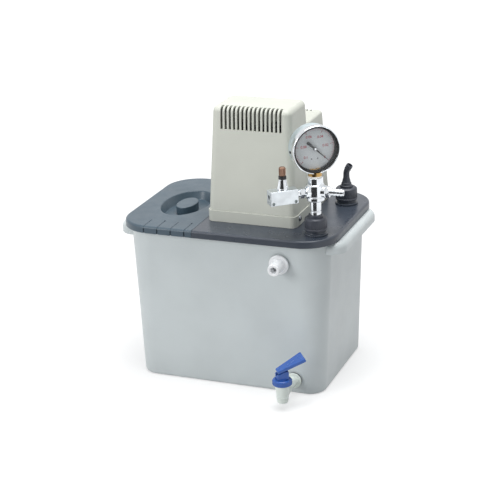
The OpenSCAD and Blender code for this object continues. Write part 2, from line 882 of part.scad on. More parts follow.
module access_cover() {
    floor_z = lid_top - recess_depth;
    color(lid_colour) {
        difference() {
            union() {
                intersection() {
                    lid_form();
                    side_of_split(-1);
                }
                recess_pocket(recess_wall, floor_z - recess_wall, lid_top - 1, 0.1);
            }
            recess_pocket(0, floor_z, lid_top, 1);
            for (i = [0 : 3]) groove(groove_x + i * groove_pitch);
        }
        translate([recess_x, recess_y, floor_z - 0.5]) linear_extrude(recess_depth + 0.3) oval(grip_w, grip_l);
    }
}

// Places of the posts between the housing's base and the motor plate
function posts() = [for (sx = [-1, 1], sy = [-1, 1]) [motor_x + sx * post_pitch, motor_y + sy * post_pitch]];

module housing_base() {
    post_r = 6;
    color(housing_colour) difference() {
        union() {
            difference() {
                translate([base_x, base_y, lid_top]) linear_extrude(base_h) rounded(base_w, base_d, housing_r);
                translate([base_x, base_y, lid_top + base_wall]) linear_extrude(base_h)
                    rounded(base_w - 2 * base_wall, base_d - 2 * base_wall, housing_r - base_wall);
            }
            for (p = posts()) translate([p[0], p[1], lid_top]) cylinder(h = base_h, r = post_r);
        }
        translate([motor_x, motor_y, lid_top - 1]) cylinder(h = 10, r = column_flange_r + 1);
        for (p = posts()) translate([p[0], p[1], lid_top - 1]) cylinder(h = base_h + 2, r = screw_r);
        for (y = side_screw_ys) translate([base_x - base_w, y, side_screw_z])
            rotate([0, 90, 0]) cylinder(h = 2 * base_w, r = screw_r + hole_gap);
        translate([gland_x, base_y + base_d / 2, gland_z]) rotate([90, 0, 0])
            cylinder(h = 20, r = gland_r + hole_gap, center = true);
    }
}

// Leaning box with rounded upright edges and a rounded top, smaller all round by an inset
module lean_box(left, right, front, back, in_side, in_front, in_back, top, inset) {
    r = housing_r - inset;
    e = shell_edge_r - inset;
    z_top = top - inset - e;
    hull() {
        for (x = [left + housing_r, right - housing_r], y = [front + housing_r, back - housing_r])
            translate([x, y, shell_z]) cylinder(h = 0.01, r = r, $fn = 32);
        for (x = [left + in_side + shell_edge_r, right - in_side - shell_edge_r])
            for (y = [front + in_front + shell_edge_r, back - in_back - shell_edge_r])
                translate([x, y, z_top]) sphere(e, $fn = 32);
    }
}

module tower(inset) {
    lean_box(tower_left, tower_right, tower_front, tower_back, side_draft, front_draft, 0, tower_top, inset);
}

module rear_block(inset) {
    lean_box(
        tower_left - block_proud, tower_right + block_proud, block_front, block_back,
        side_draft * 0.8, 0, block_draft, block_top, inset
    );
}

// Row of slots across a top edge, between two places front to back and two heights
module slot_row(y0, y1, z0, z1) {
    for (i = [0 : slot_n - 1])
        translate([motor_x + (i - (slot_n - 1) / 2) * slot_pitch - slot_w / 2, y0, z0])
            cube([slot_w, y1 - y0, z1 - z0]);
}

module housing_shell() {
    top_front = tower_front + front_draft + shell_edge_r;
    color(housing_colour) difference() {
        union() {
            difference() {
                union() {
                    tower(0);
                    rear_block(0);
                }
                translate([0, 0, -0.02]) tower(shell_t);
                translate([0, 0, -0.02]) rear_block(shell_t);
            }
            for (side = [-1, 1], y = side_screw_ys) {
                x_in = base_x + side * (base_w / 2 - base_wall - 0.2 - tab_t / 2);
                translate([x_in - tab_t / 2, y - tab_w / 2, side_screw_z - 5])
                    cube([tab_t, tab_w, shell_z + 6 - side_screw_z + 5]);
            }
        }
        slot_row(tower_front - 5, top_front + 3, tower_top - slot_h, tower_top + 5);
        slot_row(tower_back - 5, tower_back + 5, tower_top - 9, tower_top + 5);
        slot_row(block_back - 15, block_back + 5, block_top - 9, block_top + 5);
        for (y = side_screw_ys) translate([base_x - base_w, y, side_screw_z])
            rotate([0, 90, 0]) cylinder(h = 2 * base_w, r = screw_r);
        on_left_wall() translate([-switch_l / 2 - hole_gap, -switch_w / 2 - hole_gap, -15])
            cube([switch_l + 2 * hole_gap, switch_w + 2 * hole_gap, 30]);
    }
}

// Pan-head screw: its head stands on +Z, its thread points down
module screw() {
    cylinder(h = head_h, r = screw_head_r);
    translate([0, 0, -screw_l]) cylinder(h = screw_l, r = screw_r);
}

module housing_screws() {
    color(steel) {
        for (p = posts()) {
            translate([p[0], p[1], lid_under]) rotate([180, 0, 0]) screw();
            translate([p[0], p[1], bell_z]) screw();
        }
        for (y = side_screw_ys) {
            translate([base_x + base_w / 2, y, side_screw_z]) rotate([0, 90, 0]) screw();
            translate([base_x - base_w / 2, y, side_screw_z]) rotate([0, -90, 0]) screw();
        }
    }
}

// Places its children on the motor's axis
module on_motor(z) {
    translate([motor_x, motor_y, z]) children();
}

// Four holes or rods on the circle of the motor's bolts
module bolt_circle(h, r) {
    for (a = [45 : 90 : 315]) rotate([0, 0, a]) translate([bolt_pitch_r, 0, 0]) cylinder(h = h, r = r);
}

module motor_plate() {
    side = 2 * post_pitch + 13;
    color(steel) on_motor(plate_z) difference() {
        linear_extrude(plate_t) rounded(side, side, 6);
        translate([0, 0, -1]) cylinder(h = plate_t + 2, r = bearing_seat + 1);
        translate([0, 0, -1]) bolt_circle(plate_t + 2, bolt_r + hole_gap);
        for (sx = [-1, 1], sy = [-1, 1]) translate([sx * post_pitch, sy * post_pitch, -1])
            cylinder(h = plate_t + 2, r = screw_r + hole_gap);
    }
}

module motor_stator() {
    color(steel) on_motor(stator_z) difference() {
        cylinder(h = stator_h, r = motor_r);
        translate([0, 0, -1]) cylinder(h = stator_h + 2, r = stator_in_r);
        translate([0, 0, -1]) bolt_circle(stator_h + 2, bolt_r + hole_gap);
        for (a = [0 : 30 : 330]) rotate([0, 0, a + 15]) translate([stator_in_r + 2, -1.6, -1]) cube([6, 3.2, stator_h + 2]);
    }
}

// Wound coils, as a rounded ring over each end of the stator
module motor_windings() {
    color(copper) {
        on_motor(stator_z + stator_h) winding();
        on_motor(stator_z - winding_h) winding();
    }
}

module winding() {
    rotate_extrude() translate([stator_in_r + 2, 0]) {
        translate([0, 2]) square([8, winding_h - 4]);
        translate([2, 0]) square([4, winding_h]);
        for (x = [2, 6], y = [2, winding_h - 2]) translate([x, y]) circle(2);
    }
}

// Motor bell, standing open end up on its bearing seat
module bell() {
    difference() {
        cylinder(h = bell_h, r = motor_r);
        translate([0, 0, bell_wall]) cylinder(h = bell_h, r = bolt_pitch_r - bolt_r - 1);
        translate([0, 0, -1]) cylinder(h = 20, r = shaft_r + 1);
        translate([0, 0, 2]) cylinder(h = 20, r = bearing_r);
        translate([0, 0, -1]) bolt_circle(bell_h + 2, bolt_r + hole_gap);
    }
    translate([0, 0, bell_wall]) tube(bearing_w, bearing_seat, bearing_r);
}

module motor_bells() {
    color("#8d9296") {
        on_motor(bell_z) bell();
        on_motor(motor_top) mirror([0, 0, 1]) bell();
    }
}

module motor_bolts() {
    head_t = 2;
    color(steel) {
        on_motor(plate_z - head_t) bolt_circle(head_t, bolt_r + 1.5);
        on_motor(plate_z) bolt_circle(motor_top - plate_z, bolt_r);
        on_motor(motor_top) bolt_circle(2.5, bolt_r + 1.5);
    }
}

// Two ball bearings in the bells and two bushes in the column
module shaft_bearings() {
    color(chrome) {
        on_motor(bell_z + 2) tube(bearing_w, bearing_r, shaft_r + pin_gap);
        on_motor(motor_top - 2 - bearing_w) tube(bearing_w, bearing_r, shaft_r + pin_gap);
        on_motor(casing_top + 6) tube(bush_w, column_bore_r, shaft_r + pin_gap);
        on_motor(lid_top - 20) tube(bush_w, column_bore_r, shaft_r + pin_gap);
    }
}

module capacitor() {
    color(black_plastic) translate([capacitor_x, capacitor_y, lid_top + base_wall]) {
        cylinder(h = capacitor_h, r = capacitor_r);
        for (x = [-5, 5]) translate([x - 0.5, -3, capacitor_h]) cube([1, 6, 7]);
    }
}

// Cable gland in the back wall of the base
module cord_gland() {
    color(black_plastic) translate([gland_x, base_y + base_d / 2, gland_z]) rotate([-90, 0, 0]) difference() {
        union() {
            translate([0, 0, -base_wall - 4]) cylinder(h = base_wall + 4, r = gland_r);
            translate([0, 0, -base_wall - 3.5]) cylinder(h = 3.5, r = gland_r + 1.2, $fn = 6);
            cylinder(h = 2.5, r = gland_r + 1.5);
            translate([0, 0, 2.5]) cylinder(h = 9, r1 = gland_r, r2 = gland_r - 1.5);
        }
        translate([0, 0, -20]) cylinder(h = 40, r = 3.2);
    }
}

module rotor_shaft() {
    color(chrome) on_motor(casing_z + 2) cylinder(h = fan_z + fan_h - casing_z - 2, r = shaft_r);
}

module rotor_core() {
    color(steel) on_motor(stator_z - 1) tube(stator_h + 2, stator_in_r - core_gap, shaft_r);
}

// Hub, disc and straight blades of the cooling fan
module cooling_fan() {
    color(black_plastic) on_motor(fan_z) {
        tube(fan_h, 9, shaft_r);
        tube(2, fan_r, 8);
        for (a = [0 : 40 : 320]) rotate([0, 0, a]) translate([8.5, -1, 1.5]) cube([fan_r - 9.5, 2, fan_h - 1.5]);
    }
}

// Hub, disc and six curved vanes of the impeller
module impeller() {
    vane_h = 8;
    vane_c = (impeller_r + 9) / 2;
    color(black_plastic) on_motor(casing_z + 3) {
        tube(vane_h + 3, 7, shaft_r);
        translate([0, 0, vane_h]) tube(2.5, impeller_r, 6);
        for (a = [0 : 60 : 300]) rotate([0, 0, a]) translate([vane_c, 0, 0])
            rotate_extrude(angle = 150) translate([(impeller_r - 10) / 2, 0]) square([1.6, vane_h + 0.5]);
    }
}

// Places its children on the left wall of the shell, with +Z straight out of the wall
module on_left_wall() {
    x = tower_left + side_draft * (switch_z - shell_z) / (tower_top - shell_edge_r - shell_z);
    translate([x, switch_y, switch_z]) rotate([0, side_a - 90, 0]) children();
}

module switch_frame() {
    pocket_l = switch_l - 2 * switch_wall;
    pocket_w = switch_w - 2 * switch_wall;
    color(black_plastic) on_left_wall() difference() {
        union() {
            translate([-switch_l / 2 - 2.5, -switch_w / 2 - 2.5, 0.1]) cube([switch_l + 5, switch_w + 5, 2]);
            translate([-switch_l / 2, -switch_w / 2, -switch_depth]) cube([switch_l, switch_w, switch_depth + 1]);
        }
        translate([-pocket_l / 2, -pocket_w / 2, switch_wall - switch_depth]) cube([pocket_l, pocket_w, 30]);
        translate([0, 0, rocker_pin_z]) rotate([90, 0, 0]) cylinder(h = switch_w - 1, r = rocker_pin_r + pin_gap, center = true);
    }
}

module switch_rocker() {
    w = switch_w - 2 * switch_wall - 2 * gap;
    l = switch_l / 2 - switch_wall - 0.9;
    color("#26282b") on_left_wall() translate([0, 0, rocker_pin_z]) rotate([0, rocker_tilt, 0]) {
        rotate([90, 0, 0]) linear_extrude(w, center = true)
            polygon([[-l, 6.2], [0, 4.2], [l, 6.2], [l, 1], [4, -5], [-4, -5], [-l, 1]]);
        rotate([90, 0, 0]) cylinder(h = switch_w - 1.2, r = rocker_pin_r, center = true);
    }
}

module pump_column() {
    color(steel) {
        on_motor(casing_top) tube(lid_top - casing_top + 1, column_r, column_bore_r);
        on_motor(lid_top) tube(column_flange_t, column_flange_r, column_bore_r);
        on_motor(casing_top) tube(5, column_r + 8, column_bore_r);
    }
}

// Casing of the pump, open below, with two outlets that leave it sideways
module pump_casing() {
    color(black_plastic) on_motor(casing_z) difference() {
        union() {
            cylinder(h = casing_h, r = casing_r);
            translate([outlet_off, outlet_l, outlet_z - casing_z]) rotate([90, 0, 0])
                cylinder(h = 2 * outlet_l, r = pipe_r + 1);
        }
        translate([0, 0, -1]) cylinder(h = casing_h - casing_wall + 1, r = casing_r - casing_wall);
        cylinder(h = 60, r = shaft_r + 1);
        translate([outlet_off, outlet_l + 1, outlet_z - casing_z]) rotate([90, 0, 0])
            cylinder(h = 2 * outlet_l + 2, r = pipe_r - pipe_wall);
    }
}

// Bottom of the pump: a disc with a round inlet behind a ring of strainer slots
module pump_cover() {
    color(black_plastic) on_motor(intake_z) difference() {
        cylinder(h = cover_t, r = casing_r);
        translate([0, 0, 2]) cylinder(h = cover_t, r = 12);
        for (a = [0 : 30 : 150]) rotate([0, 0, a]) translate([-10, -1, -1]) cube([20, 2, 5]);
    }
}

// Pipe run through a list of points, with a ball fitting at each corner
module pipe_run(points, r, ball) {
    for (i = [0 : len(points) - 2]) {
        v = points[i + 1] - points[i];
        translate(points[i]) rotate([0, acos(v[2] / norm(v)), atan2(v[1], v[0])]) cylinder(h = norm(v), r = r);
        if (i > 0) translate(points[i]) sphere(ball);
    }
}

// Route from a pump outlet up and over to the top of an ejector
function riser_route(i) =
    let (
        side = i == 0 ? -1 : 1,
        x = motor_x + outlet_off,
        y = ejector_ys[i]
    )
    [
        [x, motor_y + side * outlet_l, outlet_z], [x, y + side * riser_out, outlet_z],
        [x, y + side * riser_out, riser_top], [ejector_x, y, riser_top], [ejector_x, y, ejector_top]
    ];

module riser_pipes() {
    color("#b9bdc0") for (i = [0, 1]) difference() {
        pipe_run(riser_route(i), pipe_r, pipe_r + 1);
        pipe_run(riser_route(i), pipe_r - pipe_wall, pipe_r - pipe_wall + 0.4);
    }
}

// Heading of a port as seen from its ejector, and the distance between them
function port_heading(i) = atan2(port_ys[i] - ejector_ys[i], port_x - ejector_x);
function port_distance(i) = norm([port_ys[i] - ejector_ys[i], port_x - ejector_x]);

module ejector_bodies() {
    side_l = ejector_r + 5;
    color(white_plastic) for (i = [0, 1]) translate([ejector_x, ejector_ys[i], 0]) difference() {
        union() {
            translate([0, 0, ejector_z]) cylinder(h = ejector_h, r = ejector_r);
            translate([0, 0, ejector_z - diffuser_l]) cylinder(h = diffuser_l, r1 = ejector_r - 2, r2 = pipe_r + 1);
            translate([0, 0, inlet_z]) rotate([0, 90, port_heading(i)]) cylinder(h = side_l, r = pipe_r + 1);
        }
        translate([0, 0, ejector_top - 12]) cylinder(h = 20, r1 = 2.5, r2 = 6.5);
        translate([0, 0, ejector_z + 6]) cylinder(h = ejector_h - 17, r = ejector_r - 3);
        translate([0, 0, ejector_z - diffuser_l - 1]) cylinder(h = diffuser_l + 10, r1 = 7, r2 = 2.5);
        translate([0, 0, inlet_z]) rotate([0, 90, port_heading(i)]) cylinder(h = side_l + 1, r = pipe_r - pipe_wall);
    }
}

// Route from an ejector's side inlet to the underside of the fitting on a port
function suction_route(i) =
    let (
        h = port_heading(i),
        s = ejector_r + 5
    )
    [
        [ejector_x + s * cos(h), ejector_ys[i] + s * sin(h), inlet_z],
        [port_x, port_ys[i], inlet_z], [port_x, port_ys[i], stem_flange_z]
    ];

module suction_pipes() {
    color("#b9bdc0") for (i = [0, 1]) difference() {
        union() {
            pipe_run(suction_route(i), pipe_r, pipe_r + 1);
            translate([port_x, port_ys[i], neck_top - 8]) cylinder(h = stem_flange_z - neck_top + 8, r = neck_bore_r - gap);
        }
        pipe_run(suction_route(i), pipe_r - pipe_wall, pipe_r - pipe_wall + 0.4);
    }
}

// Union cap with a ribbed skirt, its hole and the collar that may stand on it
module union_cap(hole, collar) {
    difference() {
        union() {
            translate([0, 0, cap_z]) rotate_extrude() edge_section(cap_r, cap_h, 2.5);
            translate([0, 0, cap_top - 1]) cylinder(h = collar + 1, r = hole + 2);
        }
        translate([0, 0, cap_z - 1]) cylinder(h = cap_h - cap_wall + 1, r = neck_r + gap);
        translate([0, 0, cap_z]) cylinder(h = 60, r = hole);
    }
}

// Washer under a cap, which rises with it and doesn't turn
module slip_ring(hole) {
    translate([0, 0, slip_z]) tube(slip_t, neck_r - 0.2, hole);
}

module front_cap() {
    color(black_plastic) translate([port_x, front_port_y, 0]) union_cap(stem_r + gap, 3.5);
}

module front_slip_ring() {
    color(white_plastic) translate([port_x, front_port_y, 0]) slip_ring(stem_r + gap);
}

// Upright stem with the seat of the check ball
module check_body() {
    color(chrome) translate([port_x, front_port_y, 0]) difference() {
        union() {
            translate([0, 0, stem_flange_z]) cylinder(h = stem_flange_t, r = stem_flange_r);
            translate([0, 0, stem_flange_z]) cylinder(h = cross_foot - stem_flange_z, r = stem_r);
        }
        translate([0, 0, stem_flange_z - 1]) cylinder(h = 60, r = ball_seat_r);
        translate([0, 0, seat_z]) cylinder(h = 60, r = ball_bore_r);
    }
}

module check_ball() {
    color(steel) translate([port_x, front_port_y, ball_z]) sphere(ball_r);
}

// Places its children at the level of the arms, with +X along a heading
module on_arm(heading) {
    translate([port_x, front_port_y, arm_axis]) rotate([0, 0, heading]) children();
}

// Round bar along +X
module bar(x0, x1, r) {
    translate([x0, 0, 0]) rotate([0, 90, 0]) cylinder(h = x1 - x0, r = r);
}

module cross_fitting() {
    color(chrome) difference() {
        union() {
            translate([port_x, front_port_y, cross_foot]) cylinder(h = cross_h, r = cross_r);
            translate([port_x, front_port_y, cross_top]) cylinder(h = top_socket_h, r = top_socket_r);
            translate([port_x, front_port_y, stop_z]) cylinder(h = cross_foot - stop_z + 1, r = ball_bore_r);
            for (a = [barb_heading, valve_heading]) on_arm(a) bar(5, arm_l, arm_r);
        }
        translate([port_x, front_port_y, stop_z - 1]) cylinder(h = 100, r = ball_seat_r);
        for (a = [barb_heading, valve_heading]) on_arm(a) bar(0, arm_l + 1, bore_r);
    }
}

module hose_barb() {
    rib = (barb_reach - arm_l - 6) / 4;
    color(chrome) on_arm(barb_heading) difference() {
        union() {
            translate([arm_l, 0, 0]) rotate([0, 90, 0]) cylinder(h = 5, r = 8, $fn = 6);
            bar(arm_l, barb_reach, bore_r + 1);
            for (i = [0 : 3]) translate([arm_l + 6 + i * rib, 0, 0])
                rotate([0, 90, 0]) cylinder(h = rib, r1 = bore_r + 2.6 - 0.2 * i, r2 = bore_r + 1.4 - 0.1 * i);
        }
        bar(arm_l - 1, barb_reach + 1, bore_r - 1);
    }
}

module valve_nipple() {
    color(chrome) on_arm(valve_heading) difference() {
        union() {
            bar(arm_l, block_reach, 5);
            translate([arm_l + 1.5, 0, 0]) rotate([0, 90, 0]) cylinder(h = 6, r = 7.5, $fn = 6);
        }
        bar(arm_l - 1, block_reach + 1, bore_r);
    }
}

// Places its children on the needle's axis, with +X along the arm
module on_valve(z) {
    translate([port_x, front_port_y, 0]) rotate([0, 0, valve_heading]) translate([valve_x, 0, z]) children();
}

module valve_block() {
    color(chrome) difference() {
        on_valve(valve_z) translate([-block_l / 2, -block_t / 2, 0]) cube([block_l, block_t, block_z]);
        on_arm(valve_heading) bar(block_reach - 1, valve_x, bore_r);
        on_valve(chamber_z) cylinder(h = 30, r = chamber_r);
        on_valve(valve_z - 1) cylinder(h = 20, r = orifice_r);
        for (s = [-1, 1]) on_valve(valve_z + 2.7) translate([s * mount_hole_pitch / 2, 0, 0])
            rotate([90, 0, 0]) cylinder(h = 40, r = mount_hole_r, center = true);
    }
}

module valve_bonnet() {
    color(chrome) difference() {
        union() {
            on_valve(valve_top) cylinder(h = bonnet_h, r1 = bonnet_r, r2 = bonnet_top_r);
            on_valve(valve_top - 4) cylinder(h = 5, r = chamber_r);
        }
        on_valve(chamber_z) cylinder(h = 60, r = needle_r + pin_gap);
    }
}

module valve_ring() {
    color(rubber) on_valve(ring_z) tube(ring_t, bonnet_top_r, needle_r + pin_gap);
}

module valve_needle() {
    color(chrome) {
        on_valve(needle_tip_z) cylinder(h = 3.5, r1 = 0.3, r2 = orifice_r - 0.4);
        on_valve(needle_tip_z + 3.5) cylinder(h = knob_z + knob_h - 2 - needle_tip_z - 3.5, r = needle_r);
    }
}

module valve_knob() {
    color(copper) on_valve(knob_z) difference() {
        cylinder(h = knob_h, r = knob_r);
        translate([0, 0, -1]) cylinder(h = knob_h - 1, r = needle_r + pin_gap);
        for (a = [0 : 20 : 340]) rotate([0, 0, a]) translate([knob_r + 0.25, 0, 1]) cylinder(h = knob_h - 2, r = 0.6);
    }
}

// Places its children on the gauge, with +Z out of its face and +Y up
module on_gauge() {
    translate([port_x, front_port_y, gauge_centre]) rotate([90, 0, gauge_turn]) children();
}

module gauge_socket() {
    foot = gauge_centre - socket_z;
    color(brass) on_gauge() difference() {
        union() {
            translate([0, 4 - case_r, 0]) rotate([90, 0, 0]) cylinder(h = foot - case_r + 4, r = brass_r - 1);
            translate([0, -case_r + 1.5, 0]) rotate([90, 0, 0]) cylinder(h = foot - case_r + 1.5, r = brass_r);
            translate([-5, 2.4 - case_r, case_wall - case_back]) cube([10, 11, movement_z + case_back - case_wall]);
        }
        translate([0, 6 - case_r, 0]) rotate([90, 0, 0]) cylinder(h = foot, r = 2);
        translate([0, 0, case_front - 1]) cylinder(h = 30, r = case_r);
    }
}

module gauge_case() {
    color(chrome) on_gauge() difference() {
        translate([0, 0, -case_back]) cylinder(h = case_back + case_front, r = case_r);
        translate([0, 0, case_wall - case_back]) cylinder(h = 60, r = case_r - case_wall);
        translate([0, -case_r, 0]) rotate([90, 0, 0]) cylinder(h = 20, r = brass_r, center = true);
    }
}

module gauge_bezel() {
    color(chrome) on_gauge() difference() {
        rotate_extrude() edge_section(bezel_r, bezel_front, 2);
        translate([0, 0, -1]) cylinder(h = case_front + glass_t + gap + 1, r = case_r + pin_gap);
        cylinder(h = 20, r = bezel_r - bezel_ring);
        translate([0, -case_r, 0]) rotate([90, 0, 0]) cylinder(h = 20, r = brass_r, center = true);
    }
}

module gauge_glass() {
    color("#dfe8ea", 0.35) on_gauge() translate([0, 0, case_front]) cylinder(h = glass_t, r = case_r - 0.1);
}

module gauge_dial() {
    color(white_plastic) on_gauge() difference() {
        translate([0, 0, dial_z]) cylinder(h = dial_t, r = dial_r);
        translate([0, 0, dial_z - 1]) cylinder(h = 5, r = pinion_r + 0.8);
        translate([-brass_r - 1, -dial_r - 5, dial_z - 1]) cube([2 * brass_r + 2, 5 + dial_r - (case_r - 8) + 1, 5]);
    }
}

// Curved tube that straightens under vacuum
module bourdon_tube() {
    color(brass) on_gauge() translate([0, 0, case_wall - case_back + 1.2])
        rotate([0, 0, -90 + 13]) rotate_extrude(angle = tube_angle) translate([tube_r, 0]) {
            translate([-1.5, 1.5]) square([3, 5]);
            for (y = [1.5, 6.5]) translate([0, y]) circle(1.5);
        }
}

// Plates and posts that hold the gauge's gears
module gauge_movement() {
    low = movement_z;
    front = dial_z - 1;
    foot = 5 - case_r;
    color(brass) on_gauge() {
        for (z = [low, front]) difference() {
            translate([-5, foot, z]) cube([10, 5 - foot, 1]);
            translate([0, 0, z - 1]) cylinder(h = 4, r = arbor_r + pin_gap);
            translate([0, sector_y, z - 1]) cylinder(h = 4, r = arbor_r + pin_gap);
        }
        for (x = [-3.7, 3.7]) translate([x, 3.2, low + 1]) cylinder(h = front - low - 1, r = 0.9);
        translate([-5, foot, low + 1]) cube([10, 2, front - low - 1]);
    }
}

// Gear with straight-sided stub teeth and ample backlash
module stub_gear(teeth, full, r_root, r_tip, t_root, t_tip, h) {
    cylinder(h = h, r = r_root);
    for (i = [0 : teeth - 1]) rotate([0, 0, (i - (teeth - 1) / 2) * 360 / full]) linear_extrude(h)
        polygon([[0, -t_root / 2], [r_root, -t_root / 2], [r_tip, -t_tip / 2], [r_tip, t_tip / 2], [r_root, t_root / 2], [0, t_root / 2]]);
}

module gauge_pointer() {
    color("#1c1d20") on_gauge() {
        translate([0, 0, -7.5]) cylinder(h = 10.5, r = arbor_r);
        translate([0, 0, 2.2]) cylinder(h = 0.8, r = 2.2);
        translate([0, 0, -4.8]) rotate([0, 0, 90 - 180 / pinion_teeth])
            stub_gear(pinion_teeth, pinion_teeth, pinion_r - 1.1 * gear_module, pinion_r + 0.7 * gear_module,
                0.9 * gear_module, 0.6 * gear_module, 1.4);
        rotate([0, 0, zero_angle]) translate([0, 0, 1.2]) linear_extrude(0.8) {
            polygon([[0, -1.1], [22, -0.35], [23.5, 0], [22, 0.35], [0, 1.1]]);
            polygon([[0, -0.8], [0, 0.8], [-13.8, 1.5], [-13.8, -1.5]]);
            translate([-14, 0]) circle(1.7);
            circle(2.2);
        }
    }
}

// Toothed sector that turns the pointer's pinion
module gauge_sector() {
    teeth = 13;
    color(brass) on_gauge() translate([0, sector_y, -4.6]) {
        translate([0, 0, -2.3]) cylinder(h = 4.5, r = arbor_r);
        cylinder(h = 1, r = 2);
        rotate([0, 0, 90 + sector_start]) {
            intersection() {
                difference() {
                    stub_gear(teeth, sector_teeth, sector_r - 1.1 * gear_module, sector_r + 0.7 * gear_module,
                        0.9 * gear_module, 0.6 * gear_module, 1);
                    translate([0, 0, -1]) cylinder(h = 3, r = sector_r - 2.5);
                }
                linear_extrude(3) polygon([[0, 0], [30, -30 * tan(24)], [30, 30 * tan(24)]]);
            }
            translate([0, -0.9, 0]) cube([sector_r - 1.6, 1.8, 1]);
        }
    }
}

module rear_cap() {
    color(black_plastic) translate([port_x, rear_port_y, 0]) union_cap(9, 0);
}

module rear_slip_ring() {
    color(white_plastic) translate([port_x, rear_port_y, 0]) slip_ring(9);
}

// Hose elbow: a cone on the cap, an upright tube and a bend towards the end of the lid
module rear_elbow() {
    bend_z = lid_top + 43;
    bend_r = 16;
    bend_a = 30;
    tip_l = 7.5;
    elbow_r = 5;
    elbow_bore_r = 3.3;
    color(black_plastic) translate([port_x, rear_port_y, 0]) difference() {
        union() {
            translate([0, 0, stem_flange_z]) cylinder(h = stem_flange_t, r = stem_flange_r);
            translate([0, 0, stem_flange_z]) cylinder(h = cap_top - stem_flange_z, r = 9 - gap);
            translate([0, 0, cap_top]) cylinder(h = 7.5, r1 = 9 - gap, r2 = elbow_r + 0.6);
            translate([0, 0, cap_top]) cylinder(h = bend_z - cap_top, r = elbow_r);
            translate([0, 0, bend_z]) sphere(elbow_r + 0.3);
            translate([bend_r, 0, bend_z]) rotate([90, 0, 0]) rotate([0, 0, 180 - bend_a])
                rotate_extrude(angle = bend_a) translate([bend_r, 0]) circle(elbow_r);
            translate([bend_r, 0, bend_z]) rotate([0, bend_a, 0]) translate([-bend_r, 0, 0])
                cylinder(h = tip_l, r = elbow_r);
        }
        translate([0, 0, stem_flange_z - 1]) cylinder(h = bend_z - stem_flange_z + 1, r = elbow_bore_r);
        translate([bend_r, 0, bend_z]) rotate([90, 0, 0]) rotate([0, 0, 180 - bend_a])
            rotate_extrude(angle = bend_a) translate([bend_r, 0]) circle(elbow_bore_r);
        translate([bend_r, 0, bend_z]) rotate([0, bend_a, 0]) translate([-bend_r, 0, 0])
            cylinder(h = tip_l + 1, r = elbow_bore_r);
    }
}

tank();
overflow_nozzle();
tank_gaskets();
tank_nuts();
tap_body();
tap_collar();
tap_turret();
tap_lever();
tap_stem();
tap_seal();
tap_spring();
main_lid();
access_cover();
housing_base();
housing_shell();
housing_screws();
motor_plate();
motor_stator();
motor_windings();
motor_bells();
motor_bolts();
shaft_bearings();
capacitor();
cord_gland();
rotor_shaft();
rotor_core();
cooling_fan();
impeller();
switch_frame();
switch_rocker();
pump_column();
pump_casing();
pump_cover();
riser_pipes();
ejector_bodies();
suction_pipes();
front_cap();
front_slip_ring();
check_body();
check_ball();
cross_fitting();
hose_barb();
valve_nipple();
valve_block();
valve_bonnet();
valve_ring();
valve_needle();
valve_knob();
gauge_socket();
gauge_case();
gauge_bezel();
gauge_glass();
gauge_dial();
bourdon_tube();
gauge_movement();
gauge_sector();
gauge_pointer();
rear_cap();
rear_slip_ring();
rear_elbow();
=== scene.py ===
"""Looks of the bench-top suction pump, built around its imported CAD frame.

Lengths inside the classes are in millimetres, in the frame of the part: X to the ports, Y to the back, Z up.
"""

import json
import logging
import math
from collections.abc import Callable, Sequence
from dataclasses import dataclass
from enum import Enum

import bmesh
import bpy
from mathutils import Matrix, Vector

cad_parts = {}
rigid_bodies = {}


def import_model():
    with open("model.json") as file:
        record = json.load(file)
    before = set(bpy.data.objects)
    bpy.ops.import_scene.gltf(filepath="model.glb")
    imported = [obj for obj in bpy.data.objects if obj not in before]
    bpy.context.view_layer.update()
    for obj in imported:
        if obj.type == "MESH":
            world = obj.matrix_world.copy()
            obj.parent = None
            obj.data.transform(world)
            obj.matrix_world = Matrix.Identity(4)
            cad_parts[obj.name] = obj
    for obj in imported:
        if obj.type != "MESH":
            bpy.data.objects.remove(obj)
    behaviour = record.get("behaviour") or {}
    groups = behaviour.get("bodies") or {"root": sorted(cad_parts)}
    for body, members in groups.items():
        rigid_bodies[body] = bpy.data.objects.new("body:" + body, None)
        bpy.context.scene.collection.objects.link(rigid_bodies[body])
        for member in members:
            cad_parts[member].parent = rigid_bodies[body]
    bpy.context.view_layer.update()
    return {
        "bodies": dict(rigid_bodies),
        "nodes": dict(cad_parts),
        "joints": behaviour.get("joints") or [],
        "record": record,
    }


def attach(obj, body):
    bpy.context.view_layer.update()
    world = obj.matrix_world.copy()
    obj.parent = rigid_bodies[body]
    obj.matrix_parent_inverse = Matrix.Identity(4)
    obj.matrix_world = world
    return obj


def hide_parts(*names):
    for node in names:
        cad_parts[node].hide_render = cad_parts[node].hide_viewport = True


log = logging.getLogger("suction_pump")

MM = 0.001
UP = Vector((0, 0, 1))

TANK_H = 226.0
LID_TOP = 230.0
SKIRT_Z = 220.0
SHELL_Z = 246.3
FRONT_PORT = (126.0, -77.0)
REAR_PORT = (126.0, 57.0)
MOTOR = (30.0, -8.0)
TAP = (98.0, -145.0)
LEVER_HEADING = 35.0
GAUGE_Z = 348.0
WALL_LEAN = math.degrees(math.atan(9.7 / 226))

Profile = Sequence[tuple[float, float]]
Ring = tuple[float, float, float, float, float, float]
Colour = tuple[float, float, float]


class Body(Enum):
    """CAD bodies that pieces ride on."""

    TANK = "tank"
    TURRET = "tap_turret"
    LEVER = "tap_lever"
    HEAD = "head"
    COVER = "access_cover"
    FRONT_CAP = "front_cap"
    REAR_CAP = "rear_cap"
    ELBOW = "rear_elbow"
    KNOB = "valve_knob"
    POINTER = "gauge_pointer"
    ROCKER = "switch_rocker"


# Placing


def move(x: float, y: float, z: float) -> Matrix:
    """Translation matrix."""
    return Matrix.Translation((x, y, z))


